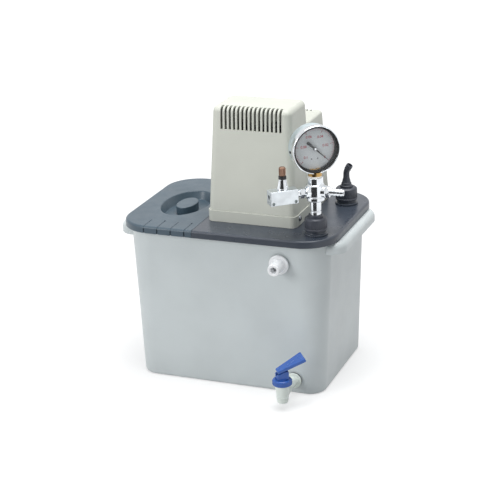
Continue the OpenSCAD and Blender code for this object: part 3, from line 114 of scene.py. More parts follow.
def turn(degrees: float, axis: str) -> Matrix:
    """Rotation matrix about one of the axes X, Y or Z."""
    return Matrix.Rotation(math.radians(degrees), 4, axis)


def half_depth(z: float) -> float:
    """Distance of the tank's long walls from its middle, at a height."""
    return 105.25 - 9.7 * (1 - z / TANK_H)


def on_front_wall(x: float, z: float) -> Matrix:
    """Place on the tank's front wall with +Z straight out of it."""
    return move(x, -half_depth(z), z) @ turn(90 + WALL_LEAN, "X")


def on_port(port: tuple[float, float], z: float = 0.0) -> Matrix:
    """Place on the upright axis of a port."""
    return move(port[0], port[1], z)


def on_arm(heading: float) -> Matrix:
    """Place at the level of the cross's arms with +X along a heading."""
    return move(*FRONT_PORT, 290.0) @ turn(heading, "Z")


def on_valve(z: float) -> Matrix:
    """Place on the needle valve's upright axis with +X along its arm."""
    return move(*FRONT_PORT, 0) @ turn(220, "Z") @ move(45.75, 0, z)


def on_gauge() -> Matrix:
    """Place on the gauge with +Z out of its face and +Y up."""
    return move(*FRONT_PORT, GAUGE_Z) @ turn(40, "Z") @ turn(90, "X")


def on_tap() -> Matrix:
    """Place on the tap's upright axis with +X along the lever."""
    return move(*TAP, 0) @ turn(LEVER_HEADING, "Z")


# Finishes


def linear(colour: Colour) -> tuple[float, float, float, float]:
    """Scene-linear colour of a display colour.

    Args:
        colour: Red, green and blue from 0 to 255.

    Returns:
        Linear red, green and blue with an alpha of 1.
    """
    parts = []
    for value in colour:
        c = value / 255
        parts.append(c / 12.92 if c <= 0.04045 else ((c + 0.055) / 1.055) ** 2.4)
    return (parts[0], parts[1], parts[2], 1.0)


class NodeBench:
    """Material under construction, with short calls for the nodes that the finishes share."""

    def __init__(self, name: str) -> None:
        """Starts an empty material with a shader and its output."""
        self.material = bpy.data.materials.new(name)
        self.material.use_nodes = True
        self.tree = self.material.node_tree
        self.tree.nodes.clear()
        self.shader = self.tree.nodes.new("ShaderNodeBsdfPrincipled")
        output = self.tree.nodes.new("ShaderNodeOutputMaterial")
        self.tree.links.new(self.shader.outputs["BSDF"], output.inputs["Surface"])
        self.place = self.tree.nodes.new("ShaderNodeTexCoord").outputs["Object"]

    def noise(self, size_mm: float, detail: float = 2.0, stretch: Colour = (1, 1, 1)) -> bpy.types.NodeSocket:
        """Noise pattern over the object.

        Args:
            size_mm: Size of the pattern's grains.
            detail: Octaves of finer noise.
            stretch: How much finer the pattern is along each axis.

        Returns:
            Socket with the noise's value.
        """
        mapping = self.tree.nodes.new("ShaderNodeMapping")
        mapping.inputs["Scale"].default_value = stretch
        self.tree.links.new(self.place, mapping.inputs["Vector"])
        noise = self.tree.nodes.new("ShaderNodeTexNoise")
        noise.inputs["Scale"].default_value = 1 / (size_mm * MM)
        noise.inputs["Detail"].default_value = detail
        self.tree.links.new(mapping.outputs["Vector"], noise.inputs["Vector"])
        return noise.outputs["Fac"]

    def remap(self, value: bpy.types.NodeSocket, low: float, high: float) -> bpy.types.NodeSocket:
        """Value spread from the middle of a noise pattern to a range."""
        node = self.tree.nodes.new("ShaderNodeMapRange")
        for name, number in (("From Min", 0.3), ("From Max", 0.7), ("To Min", low), ("To Max", high)):
            node.inputs[name].default_value = number
        self.tree.links.new(value, node.inputs["Value"])
        return node.outputs["Result"]

    def tint(self, value: bpy.types.NodeSocket, first: Colour, second: Colour) -> None:
        """Colours the surface between two display colours by a value."""
        ramp = self.tree.nodes.new("ShaderNodeValToRGB")
        ramp.color_ramp.elements[0].position, ramp.color_ramp.elements[1].position = 0.35, 0.65
        ramp.color_ramp.elements[0].color = linear(first)
        ramp.color_ramp.elements[1].color = linear(second)
        self.tree.links.new(value, ramp.inputs["Fac"])
        self.tree.links.new(ramp.outputs["Color"], self.shader.inputs["Base Color"])

    def rough(self, value: bpy.types.NodeSocket, low: float, high: float) -> None:
        """Varies the roughness between two limits by a value."""
        self.tree.links.new(self.remap(value, low, high), self.shader.inputs["Roughness"])

    def bump(self, value: bpy.types.NodeSocket, depth_mm: float, strength: float = 1.0) -> None:
        """Raises the surface by a value, up to a depth."""
        node = self.tree.nodes.new("ShaderNodeBump")
        node.inputs["Distance"].default_value = depth_mm * MM
        node.inputs["Strength"].default_value = strength
        self.tree.links.new(value, node.inputs["Height"])
        self.tree.links.new(node.outputs["Normal"], self.shader.inputs["Normal"])

    def fix(self, **numbers: float) -> None:
        """Sets sockets of the shader by name, with underscores for spaces."""
        for name, number in numbers.items():
            self.shader.inputs[name.replace("_", " ")].default_value = number


def shade(colour: Colour, factor: float) -> Colour:
    """Display colour made lighter or darker by a factor."""
    return (
        min(colour[0] * factor, 255),
        min(colour[1] * factor, 255),
        min(colour[2] * factor, 255),
    )


@dataclass(frozen=True)
class Moulding:
    """Moulded plastic or rubber: fine grain and faint clouds of tone and gloss."""

    colour: Colour
    slot: str
    gloss: tuple[float, float] = (0.38, 0.5)
    grain_mm: float = 0.7
    grain_depth: float = 0.02
    clouds: float = 0.02
    translucent: float = 0.0

    def make(self, name: str) -> bpy.types.Material:
        """Builds the material."""
        bench = NodeBench(name)
        broad = bench.noise(60, 3)
        bench.tint(broad, shade(self.colour, 1 - self.clouds), shade(self.colour, 1 + self.clouds))
        bench.rough(bench.noise(14, 4), *self.gloss)
        bench.bump(bench.noise(self.grain_mm, 2), self.grain_depth)
        if self.translucent:
            bench.fix(Subsurface_Weight=self.translucent, Subsurface_Scale=0.004)
            bench.shader.inputs["Subsurface Radius"].default_value = (1.0, 0.95, 0.9)
        return bench.material


@dataclass(frozen=True)
class Plating:
    """Bright or satin metal with faint wipe marks."""

    colour: Colour
    slot: str
    gloss: tuple[float, float] = (0.06, 0.14)
    marks_mm: float = 0.8
    marks_depth: float = 0.004
    grain: Colour = (1, 1, 1)

    def make(self, name: str) -> bpy.types.Material:
        """Builds the material."""
        bench = NodeBench(name)
        bench.tint(bench.noise(9, 3), shade(self.colour, 0.96), shade(self.colour, 1.03))
        bench.rough(bench.noise(5, 4, self.grain), *self.gloss)
        bench.bump(bench.noise(self.marks_mm, 3, self.grain), self.marks_depth)
        bench.fix(Metallic=1.0)
        return bench.material


@dataclass(frozen=True)
class Glazing:
    """Clear flat glass that lets light and shadow through."""

    slot: str
    alpha: float = 0.05

    def make(self, name: str) -> bpy.types.Material:
        """Builds the material."""
        bench = NodeBench(name)
        bench.tint(bench.noise(12), (236, 242, 244), (244, 248, 250))
        bench.rough(bench.noise(8, 2), 0.01, 0.03)
        bench.fix(Alpha=self.alpha, Specular_IOR_Level=0.6)
        return bench.material


class Finish(Enum):
    """Finishes of the pump's pieces."""

    TANK = Moulding((208, 215, 216), "tank_plastic", (0.3, 0.42), 1.4, 0.02, 0.012, 0.12)
    LID = Moulding((61, 68, 79), "lid_plastic", (0.26, 0.36), 0.5, 0.03, 0.03)
    COVER = Moulding((68, 85, 97), "lid_plastic", (0.3, 0.4), 0.5, 0.03, 0.03)
    HOUSING = Moulding((211, 213, 203), "housing_plastic", (0.45, 0.56), 0.55, 0.045, 0.012)
    CHARCOAL = Moulding((61, 65, 75), "black_plastic", (0.36, 0.5), 0.5, 0.02, 0.05)
    BLACK = Moulding((34, 35, 38), "black_plastic", (0.35, 0.48), 0.5, 0.02, 0.05)
    WHITE = Moulding((246, 248, 250), "white_plastic", (0.18, 0.28), 1.0, 0.01, 0.01, 0.1)
    FROSTED = Moulding((232, 240, 233), "white_plastic", (0.25, 0.36), 0.8, 0.015, 0.015, 0.25)
    BLUE = Moulding((50, 95, 176), "blue_plastic", (0.2, 0.3), 0.8, 0.012, 0.03)
    TAPE = Moulding((236, 236, 232), "white_plastic", (0.6, 0.75), 0.35, 0.06, 0.01)
    RUBBER = Moulding((28, 29, 31), "rubber_black", (0.6, 0.75), 0.4, 0.03, 0.06)
    DIAL = Moulding((236, 241, 243), "dial_white", (0.4, 0.5), 0.4, 0.006, 0.008)
    RED_INK = Moulding((186, 40, 66), "dial_white", (0.5, 0.6), 0.4, 0.004, 0.04)
    CHROME = Plating((222, 226, 230), "chrome_metal")
    SATIN = Plating((216, 222, 226), "chrome_metal", (0.3, 0.4), 0.5, 0.01, (1, 1, 6))
    CASE = Plating((198, 210, 214), "chrome_metal", (0.38, 0.5), 0.5, 0.008)
    STEEL = Plating((128, 132, 137), "steel_metal", (0.26, 0.4), 0.5, 0.008)
    CAST = Plating((146, 151, 155), "cast_metal", (0.45, 0.6), 0.9, 0.06)
    BRASS = Plating((180, 146, 92), "brass_metal", (0.2, 0.32), 0.5, 0.006)
    COPPER = Plating((164, 132, 114), "copper_metal", (0.3, 0.42), 0.4, 0.01)
    GLASS = Glazing("gauge_glass")

    def material(self) -> bpy.types.Material:
        """The finish's material, made once."""
        name = self.name.lower()
        return bpy.data.materials.get(name) or self.value.make(name)

    @property
    def slot(self) -> str:
        """Material slot of the record that the finish stands for."""
        return self.value.slot


# Meshes


def ring_face(
    bm: bmesh.types.BMesh, w: float, d: float, r: float, z: float, corner: int = 10
) -> bmesh.types.BMFace:
    """Rectangle with round corners, as one face that looks up.

    Args:
        bm: Mesh to add to.
        w: Size along X.
        d: Size along Y.
        r: Radius of the corners.
        z: Height.
        corner: Segments of each corner.

    Returns:
        The face.
    """
    verts = [bm.verts.new((sx * w / 2, sy * d / 2, z)) for sx, sy in ((-1, -1), (1, -1), (1, 1), (-1, 1))]
    bm.faces.new(verts)
    made = bmesh.ops.bevel(
        bm,
        geom=verts,
        offset=r,
        offset_type="OFFSET",
        segments=corner,
        profile=0.5,
        affect="VERTICES",
        material=-1,
    )
    near = {v for v in made["verts"]}
    return next(f for f in bm.faces if near & set(f.verts) and all(abs(v.co.z - z) < 1e-3 for v in f.verts))


def loft(bm: bmesh.types.BMesh, rings: Sequence[Ring], corner: int = 10) -> None:
    """Closed form through rounded rectangles.

    Args:
        bm: Mesh to add to.
        rings: Width, depth, corner radius, height, and X and Y of the centre of each level,
            from the bottom up.
        corner: Segments of each corner.
    """
    loops = []
    for w, d, r, z, cx, cy in rings:
        face = ring_face(bm, w, d, r, z, corner)
        bmesh.ops.translate(bm, verts=list(face.verts), vec=(cx, cy, 0))
        loops.append(face)
    for low, high in zip(loops, loops[1:]):
        bmesh.ops.bridge_loops(bm, edges=list(low.edges) + list(high.edges))
    bmesh.ops.delete(bm, geom=loops[1:-1], context="FACES_ONLY")
    bmesh.ops.recalc_face_normals(bm, faces=list(bm.faces))


def lathe(profile: Profile, steps: int = 64) -> bmesh.types.BMesh:
    """Form turned about the Z axis.

    Args:
        profile: Radius and height of each corner of the section, in order; closed unless
            both ends are on the axis.
        steps: Segments round the axis.

    Returns:
        The closed mesh.
    """
    bm = bmesh.new()
    verts = [bm.verts.new((r, 0, z)) for r, z in profile]
    edges = [bm.edges.new(pair) for pair in zip(verts, verts[1:])]
    if profile[0][0] > 1e-6 or profile[-1][0] > 1e-6:
        edges.append(bm.edges.new((verts[-1], verts[0])))
    bmesh.ops.spin(
        bm, geom=verts + edges, cent=(0, 0, 0), axis=UP, angle=2 * math.pi, steps=steps, use_merge=True
    )
    bmesh.ops.remove_doubles(bm, verts=list(bm.verts), dist=1e-4)
    bmesh.ops.recalc_face_normals(bm, faces=list(bm.faces))
    return bm


def soften(
    bm: bmesh.types.BMesh,
    width: float,
    segments: int = 2,
    angle: float = 30,
    where: Callable[[Vector], bool] | None = None,
) -> bmesh.types.BMesh:
    """Rounds the sharp edges of a closed mesh.

    Args:
        bm: Mesh to change.
        width: Size of the rounding.
        segments: Segments of the rounding.
        angle: Least angle between two faces at an edge that is rounded.
        where: Test of an edge's middle that picks the edges, or None for all.

    Returns:
        The same mesh.
    """
    sharp = [
        e
        for e in bm.edges
        if len(e.link_faces) == 2
        and e.calc_face_angle(0) > math.radians(angle)
        and (where is None or where((e.verts[0].co + e.verts[1].co) / 2))
    ]
    bmesh.ops.bevel(
        bm,
        geom=sharp,
        offset=width,
        offset_type="OFFSET",
        segments=segments,
        profile=0.5,
        affect="EDGES",
        clamp_overlap=True,
        material=-1,
    )
    return bm


def rod(r: float, z0: float, z1: float, r_top: float | None = None, sides: int = 48) -> bmesh.types.BMesh:
    """Closed cylinder or cone along Z."""
    bm = bmesh.new()
    bmesh.ops.create_cone(
        bm, cap_ends=True, segments=sides, radius1=r, radius2=r if r_top is None else r_top, depth=z1 - z0
    )
    bmesh.ops.translate(bm, verts=list(bm.verts), vec=(0, 0, (z0 + z1) / 2))
    return bm


def block(low: Colour, high: Colour) -> bmesh.types.BMesh:
    """Closed box between two corners."""
    bm = bmesh.new()
    bmesh.ops.create_cube(bm, size=1)
    bmesh.ops.scale(bm, verts=list(bm.verts), vec=[b - a for a, b in zip(low, high)])
    bmesh.ops.translate(bm, verts=list(bm.verts), vec=[(a + b) / 2 for a, b in zip(low, high)])
    return bm


def prism(
    outline: Profile, low: float, high: float, round_at: dict[int, float] | None = None
) -> bmesh.types.BMesh:
    """Flat outline raised along Z.

    Args:
        outline: Corners in order, as X and Y.
        low: Height of the lower face.
        high: Height of the upper face.
        round_at: Radius for each corner that is rounded, by its place in the outline.

    Returns:
        The closed mesh.
    """
    bm = bmesh.new()
    verts = [bm.verts.new((x, y, low)) for x, y in outline]
    bm.faces.new(verts)
    for index, radius in (round_at or {}).items():
        bmesh.ops.bevel(
            bm, geom=[verts[index]], offset=radius, offset_type="OFFSET", segments=8, profile=0.5,
            affect="VERTICES", material=-1,
        )
    raised = bmesh.ops.extrude_face_region(bm, geom=list(bm.faces), use_keep_orig=True)["geom"]
    lifted = [v for v in raised if isinstance(v, bmesh.types.BMVert)]
    bmesh.ops.translate(bm, verts=lifted, vec=(0, 0, high - low))
    bmesh.ops.recalc_face_normals(bm, faces=list(bm.faces))
    return bm


def placed(bm: bmesh.types.BMesh, matrix: Matrix) -> bmesh.types.BMesh:
    """The mesh after a move, which is kept facing outwards."""
    bmesh.ops.transform(bm, matrix=matrix, verts=list(bm.verts))
    if matrix.determinant() < 0:
        bmesh.ops.reverse_faces(bm, faces=list(bm.faces))
    return bm


def clear_inside(bm: bmesh.types.BMesh) -> None:
    """Removes the faces that a sweep leaves across the inside of a form."""
    inner = [f for f in bm.faces if all(len(e.link_faces) > 2 for e in f.edges)]
    bmesh.ops.delete(bm, geom=inner, context="FACES_ONLY")


def joined(*parts: bmesh.types.BMesh) -> bmesh.types.BMesh:
    """One mesh that holds several closed ones."""
    whole = bmesh.new()
    for part in parts:
        mesh = bpy.data.meshes.new("part")
        part.to_mesh(mesh)
        part.free()
        whole.from_mesh(mesh)
        bpy.data.meshes.remove(mesh)
    return whole


def as_object(bm: bmesh.types.BMesh, name: str) -> bpy.types.Object:
    """Object of a mesh, linked to the scene."""
    mesh = bpy.data.meshes.new(name)
    bm.to_mesh(mesh)
    bm.free()
    thing = bpy.data.objects.new(name, mesh)
    bpy.context.scene.collection.objects.link(thing)
    return thing


def cut(bm: bmesh.types.BMesh, tool: bmesh.types.BMesh, how: str = "DIFFERENCE") -> bmesh.types.BMesh:
    """Mesh after a cut with another, or joined with it.

    Args:
        bm: Closed mesh that is cut, used up.
        tool: Closed mesh of the tool, used up.
        how: DIFFERENCE, UNION or INTERSECT.

    Returns:
        The new mesh.
    """
    target, cutter = as_object(bm, "target"), as_object(tool, "cutter")
    step = target.modifiers.new("cut", "BOOLEAN")
    step.operation, step.object, step.solver = how, cutter, "EXACT"
    graph = bpy.context.evaluated_depsgraph_get()
    result = bpy.data.meshes.new_from_object(target.evaluated_get(graph))
    made = bmesh.new()
    made.from_mesh(result)
    bpy.data.meshes.remove(result)
    for thing in (target, cutter):
        mesh = thing.data
        bpy.data.objects.remove(thing)
        bpy.data.meshes.remove(mesh)
    bmesh.ops.remove_doubles(made, verts=list(made.verts), dist=1e-4)
    return made


def finish_piece(
    name: str,
    bm: bmesh.types.BMesh,
    finish: Finish,
    body: Body,
    stands_for: Sequence[str] = (),
    crease: float = 32,
    weighted: bool = True,
) -> bpy.types.Object:
    """Turns a mesh in millimetres into a finished piece that rides on a body.

    Args:
        name: Name of the piece.
        bm: Its mesh, used up.
        finish: Its finish.
        body: CAD body that it rides on.
        stands_for: CAD nodes that it is shown for.
        crease: Least angle between faces that stays sharp.
        weighted: True if large faces keep flat shading up to their edges.

    Returns:
        The object.
    """
    bmesh.ops.scale(bm, verts=list(bm.verts), vec=(MM, MM, MM))
    piece = as_object(bm, name)
    piece.data.shade_smooth()
    piece.data.set_sharp_from_angle(angle=math.radians(crease))
    if weighted:
        piece.modifiers.new("flat faces", "WEIGHTED_NORMAL").keep_sharp = True
    piece.data.materials.append(finish.material())
    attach(piece, body.value)
    finish.slot
    if stands_for:
        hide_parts(*stands_for)
    log.info("%s: %d faces on %s", name, len(piece.data.polygons), body.value)
    return piece


# Sub-assemblies


@dataclass
class Tank:
    """Leaning tub with a rim and two lip handles."""

    width: float = 291.5
    depth: float = 210.5
    lean: float = 9.7
    wall: float = 3.0
    rim_t: float = 3.5
    edge: float = 4.5

    def tub(self) -> bmesh.types.BMesh:
        """Outer walls from the floor to the rim, with their thickness."""
        bm = bmesh.new()
        low_w, low_d = self.width - 2 * self.lean, self.depth - 2 * self.lean
        loft(bm, [(low_w, low_d, 24, 0, 0, 0), (self.width, self.depth, 39, TANK_H, 0, 0)], 14)
        soften(bm, self.edge, 8, 60, lambda p: p.z < 1)
        top = [f for f in bm.faces if all(v.co.z > TANK_H - 0.01 for v in f.verts)]
        bmesh.ops.delete(bm, geom=top, context="FACES_ONLY")
        bmesh.ops.solidify(bm, geom=list(bm.faces), thickness=self.wall)
        return soften(bm, 0.8, 2, 60, lambda p: p.z > TANK_H - 1)

    def rim(self) -> bmesh.types.BMesh:
        """Flat collar round the top of the walls."""
        bm = bmesh.new()
        low, high = TANK_H - self.rim_t, TANK_H
        rings = [
            ring_face(bm, w, d, r, z, 14)
            for w, d, r, z in (
                (302, 218, 44.7, low), (302, 218, 44.7, high), (289, 208, 38, high), (289, 208, 38, low),
            )
        ]
        for a, b in zip(rings, rings[1:] + rings[:1]):
            bmesh.ops.bridge_loops(bm, edges=list(a.edges) + list(b.edges))
        bmesh.ops.delete(bm, geom=rings, context="FACES_ONLY")
        bmesh.ops.recalc_face_normals(bm, faces=list(bm.faces))
        return soften(bm, 1.0, 3, 60)

    def handle(self, side: int) -> bmesh.types.BMesh:
        """Lip that hangs from the rim at one end.

        Args:
            side: 1 for the right end, -1 for the left.

        Returns:
            Its mesh.
        """
        bm = bmesh.new()
        reach, top, t, lip, r = 22.0, 219.5, 2.8, 15.5, 8.0
        corner_x, corner_y, tail = 143.0, 61.0, 8.0
        outline = [
            (0, top), (reach, top), (reach, top - lip), (reach - t, top - lip), (reach - t, top - t),
            (0, top - t),
        ]
        verts = [bm.verts.new((corner_x - tail, -corner_y - u, v)) for u, v in outline]
        face = bm.faces.new(verts)
        for vert, radius in ((verts[1], r), (verts[4], r - t)):
            bmesh.ops.bevel(
                bm, geom=[vert], offset=radius, offset_type="OFFSET", segments=6, profile=0.5,
                affect="VERTICES", material=-1,
            )
        face = next(iter(bm.faces))
        faces = [face]

        def pull(vec: Sequence[float]) -> None:
            nonlocal faces
            made = bmesh.ops.extrude_face_region(bm, geom=faces)["geom"]
            faces = [f for f in made if isinstance(f, bmesh.types.BMFace)]
            bmesh.ops.translate(bm, verts=[v for v in made if isinstance(v, bmesh.types.BMVert)], vec=vec)

        def sweep(centre: Sequence[float]) -> None:
            nonlocal faces
            made = bmesh.ops.spin(
                bm, geom=faces, cent=centre, axis=UP, angle=math.pi / 2, steps=12, use_merge=False
            )["geom_last"]
            faces = [f for f in made if isinstance(f, bmesh.types.BMFace)]

        bmesh.ops.reverse_faces(bm, faces=faces)
        pull((tail, 0, 0))
        sweep((corner_x, -corner_y, 0))
        pull((0, 2 * corner_y, 0))
        sweep((corner_x, corner_y, 0))
        pull((-tail, 0, 0))
        bmesh.ops.remove_doubles(bm, verts=list(bm.verts), dist=1e-4)
        clear_inside(bm)
        bmesh.ops.recalc_face_normals(bm, faces=list(bm.faces))
        soften(bm, 0.7, 2, 50, lambda p: p.z < top - lip + 0.2)
        return placed(bm, Matrix.Scale(side, 4, (1, 0, 0)))

    def build(self) -> None:
        """Makes the tank."""
        finish_piece("tank_tub", self.tub(), Finish.TANK, Body.TANK, ["tank"])
        finish_piece("tank_rim", self.rim(), Finish.TANK, Body.TANK)
        finish_piece("tank_handle_left", self.handle(-1), Finish.TANK, Body.TANK)
        finish_piece("tank_handle_right", self.handle(1), Finish.TANK, Body.TANK)


@dataclass
class Overflow:
    """Nozzle on the front wall."""

    x: float = 83.0
    z: float = 192.5

    def build(self) -> None:
        """Makes the nozzle."""
        profile = [
            (3.5, -12), (6, -12), (6, 2), (13.9, 2), (13.9, 4.6), (13.2, 5.2), (9.6, 5.4), (9.3, 7),
            (7.9, 20.5), (8.4, 21.4), (8.5, 24), (7.9, 25), (5.2, 25), (4.2, 23.6), (3.5, 12),
        ]
        bm = soften(lathe(profile, 72), 0.6, 3, 25)
        bm = placed(bm, on_front_wall(self.x, self.z))
        finish_piece("overflow", bm, Finish.WHITE, Body.TANK, ["overflow_nozzle"])


@dataclass
class Tap:
    """Dispensing tap with its swivelling lever."""

    collar_r: float = 13.5
    collar_z: float = 36.5
    collar_h: float = 8.0
    shank_z: float = 21.7
    blade_t: float = 4.3

    def valve_body(self) -> bmesh.types.BMesh:
        """Upright body with the ribbed outlet, and the shank into the tank."""
        profile = [
            (4.5, 10), (6.9, 10), (7.5, 10.6), (7.5, 11.6), (7.1, 12.1), (7.3, 13.4), (8.1, 13.8),
            (8.1, 14.6), (7.5, 15), (7.7, 17), (8.5, 17.4), (8.5, 18.2), (7.9, 18.6), (9.6, 31), (10.6, 36.5),
            (10.3, 36.5), (10.3, 41), (6.2, 41), (6.2, 14.5),
            (4.5, 14.5),
        ]
        upright = placed(soften(lathe(profile, 72), 0.35, 2, 25), move(*TAP, 0))
        reach = (145 - half_depth(self.shank_z)) / math.cos(math.radians(WALL_LEAN))
        profile = [
            (3.5, -11), (6.5, -11), (6.5, 2), (11, 2), (11, 5), (7.2, 5), (6.5, 7), (6.5, reach - 5),
            (3.5, reach - 5),
        ]
        shank = soften(lathe(profile, 64), 0.5, 3, 25)
        return joined(upright, placed(shank, on_front_wall(TAP[0], self.shank_z)))

    def collar(self) -> bmesh.types.BMesh:
        """Ribbed cap nut."""
        low, high, r = self.collar_z, self.collar_z + self.collar_h, self.collar_r - 0.5
        profile = [
            (10.4, low), (r, low), (r, high - 1.2), (r - 1.4, high), (8.6, high), (8.6, high - 1.3),
            (10.4, high - 1.3),
        ]
        parts = [soften(lathe(profile, 96), 0.5, 3, 25)]
        for i in range(30):
            rib = soften(rod(0.75, low + 0.6, high - 1.8, sides=12), 0.3, 2, 50)
            parts.append(placed(rib, turn(12 * i, "Z") @ move(r - 0.25, 0, 0)))
        return placed(joined(*parts), move(*TAP, 0))

    def turret(self) -> bmesh.types.BMesh:
        """Neck that carries the lever between two cheeks."""
        side = [(-8, 44.8), (8, 44.8), (8, 56), (1.0, 56), (-8, 51.9)]
        boss = placed(prism(side, -6.5, 6.5, {2: 1.5}), turn(90, "X"))
        boss = cut(boss, block((-20, -3.2, 49), (20, 3.2, 80)))
        soften(boss, 0.5, 2, 40)
        disc = soften(rod(8.3, 41.1, 45.8, sides=64), 0.4, 2, 50)
        return placed(joined(boss, disc), on_tap())

    def lever(self) -> bmesh.types.BMesh:
        """Blade over the neck, widening to its tip."""
        outline = [(-9.8, -6), (31.2, -13.25), (31.2, 13.25), (-9.8, 6)]
        blade = prism(outline, 10.0 - self.blade_t, 10.0)
        for vert in [v for v in blade.verts if v.co.z > 9.9]:
            vert.co.y *= 0.97
        soften(blade, 2.0, 5, 60, lambda p: 5.7 < p.z < 9.3)
        soften(blade, 0.7, 3, 40)
        neck = soften(block((-0.5, -2.9, -1), (4, 2.9, 7)), 0.5, 2, 50)
        hub = placed(rod(3.2, -2.9, 2.9, sides=40), turn(90, "X"))
        local = joined(placed(joined(blade, neck), turn(-24.7, "Y")), hub)
        return placed(local, on_tap() @ move(5, 0, 52.5))

    def build(self) -> None:
        """Makes the tap."""
        finish_piece("tap_valve_body", self.valve_body(), Finish.FROSTED, Body.TANK, ["tap_body"])
        finish_piece("tap_cap_nut", self.collar(), Finish.BLUE, Body.TANK, ["tap_collar"])
        finish_piece("tap_neck", self.turret(), Finish.BLUE, Body.TURRET, ["tap_turret"])
        finish_piece("tap_blade", self.lever(), Finish.BLUE, Body.LEVER, ["tap_lever"])


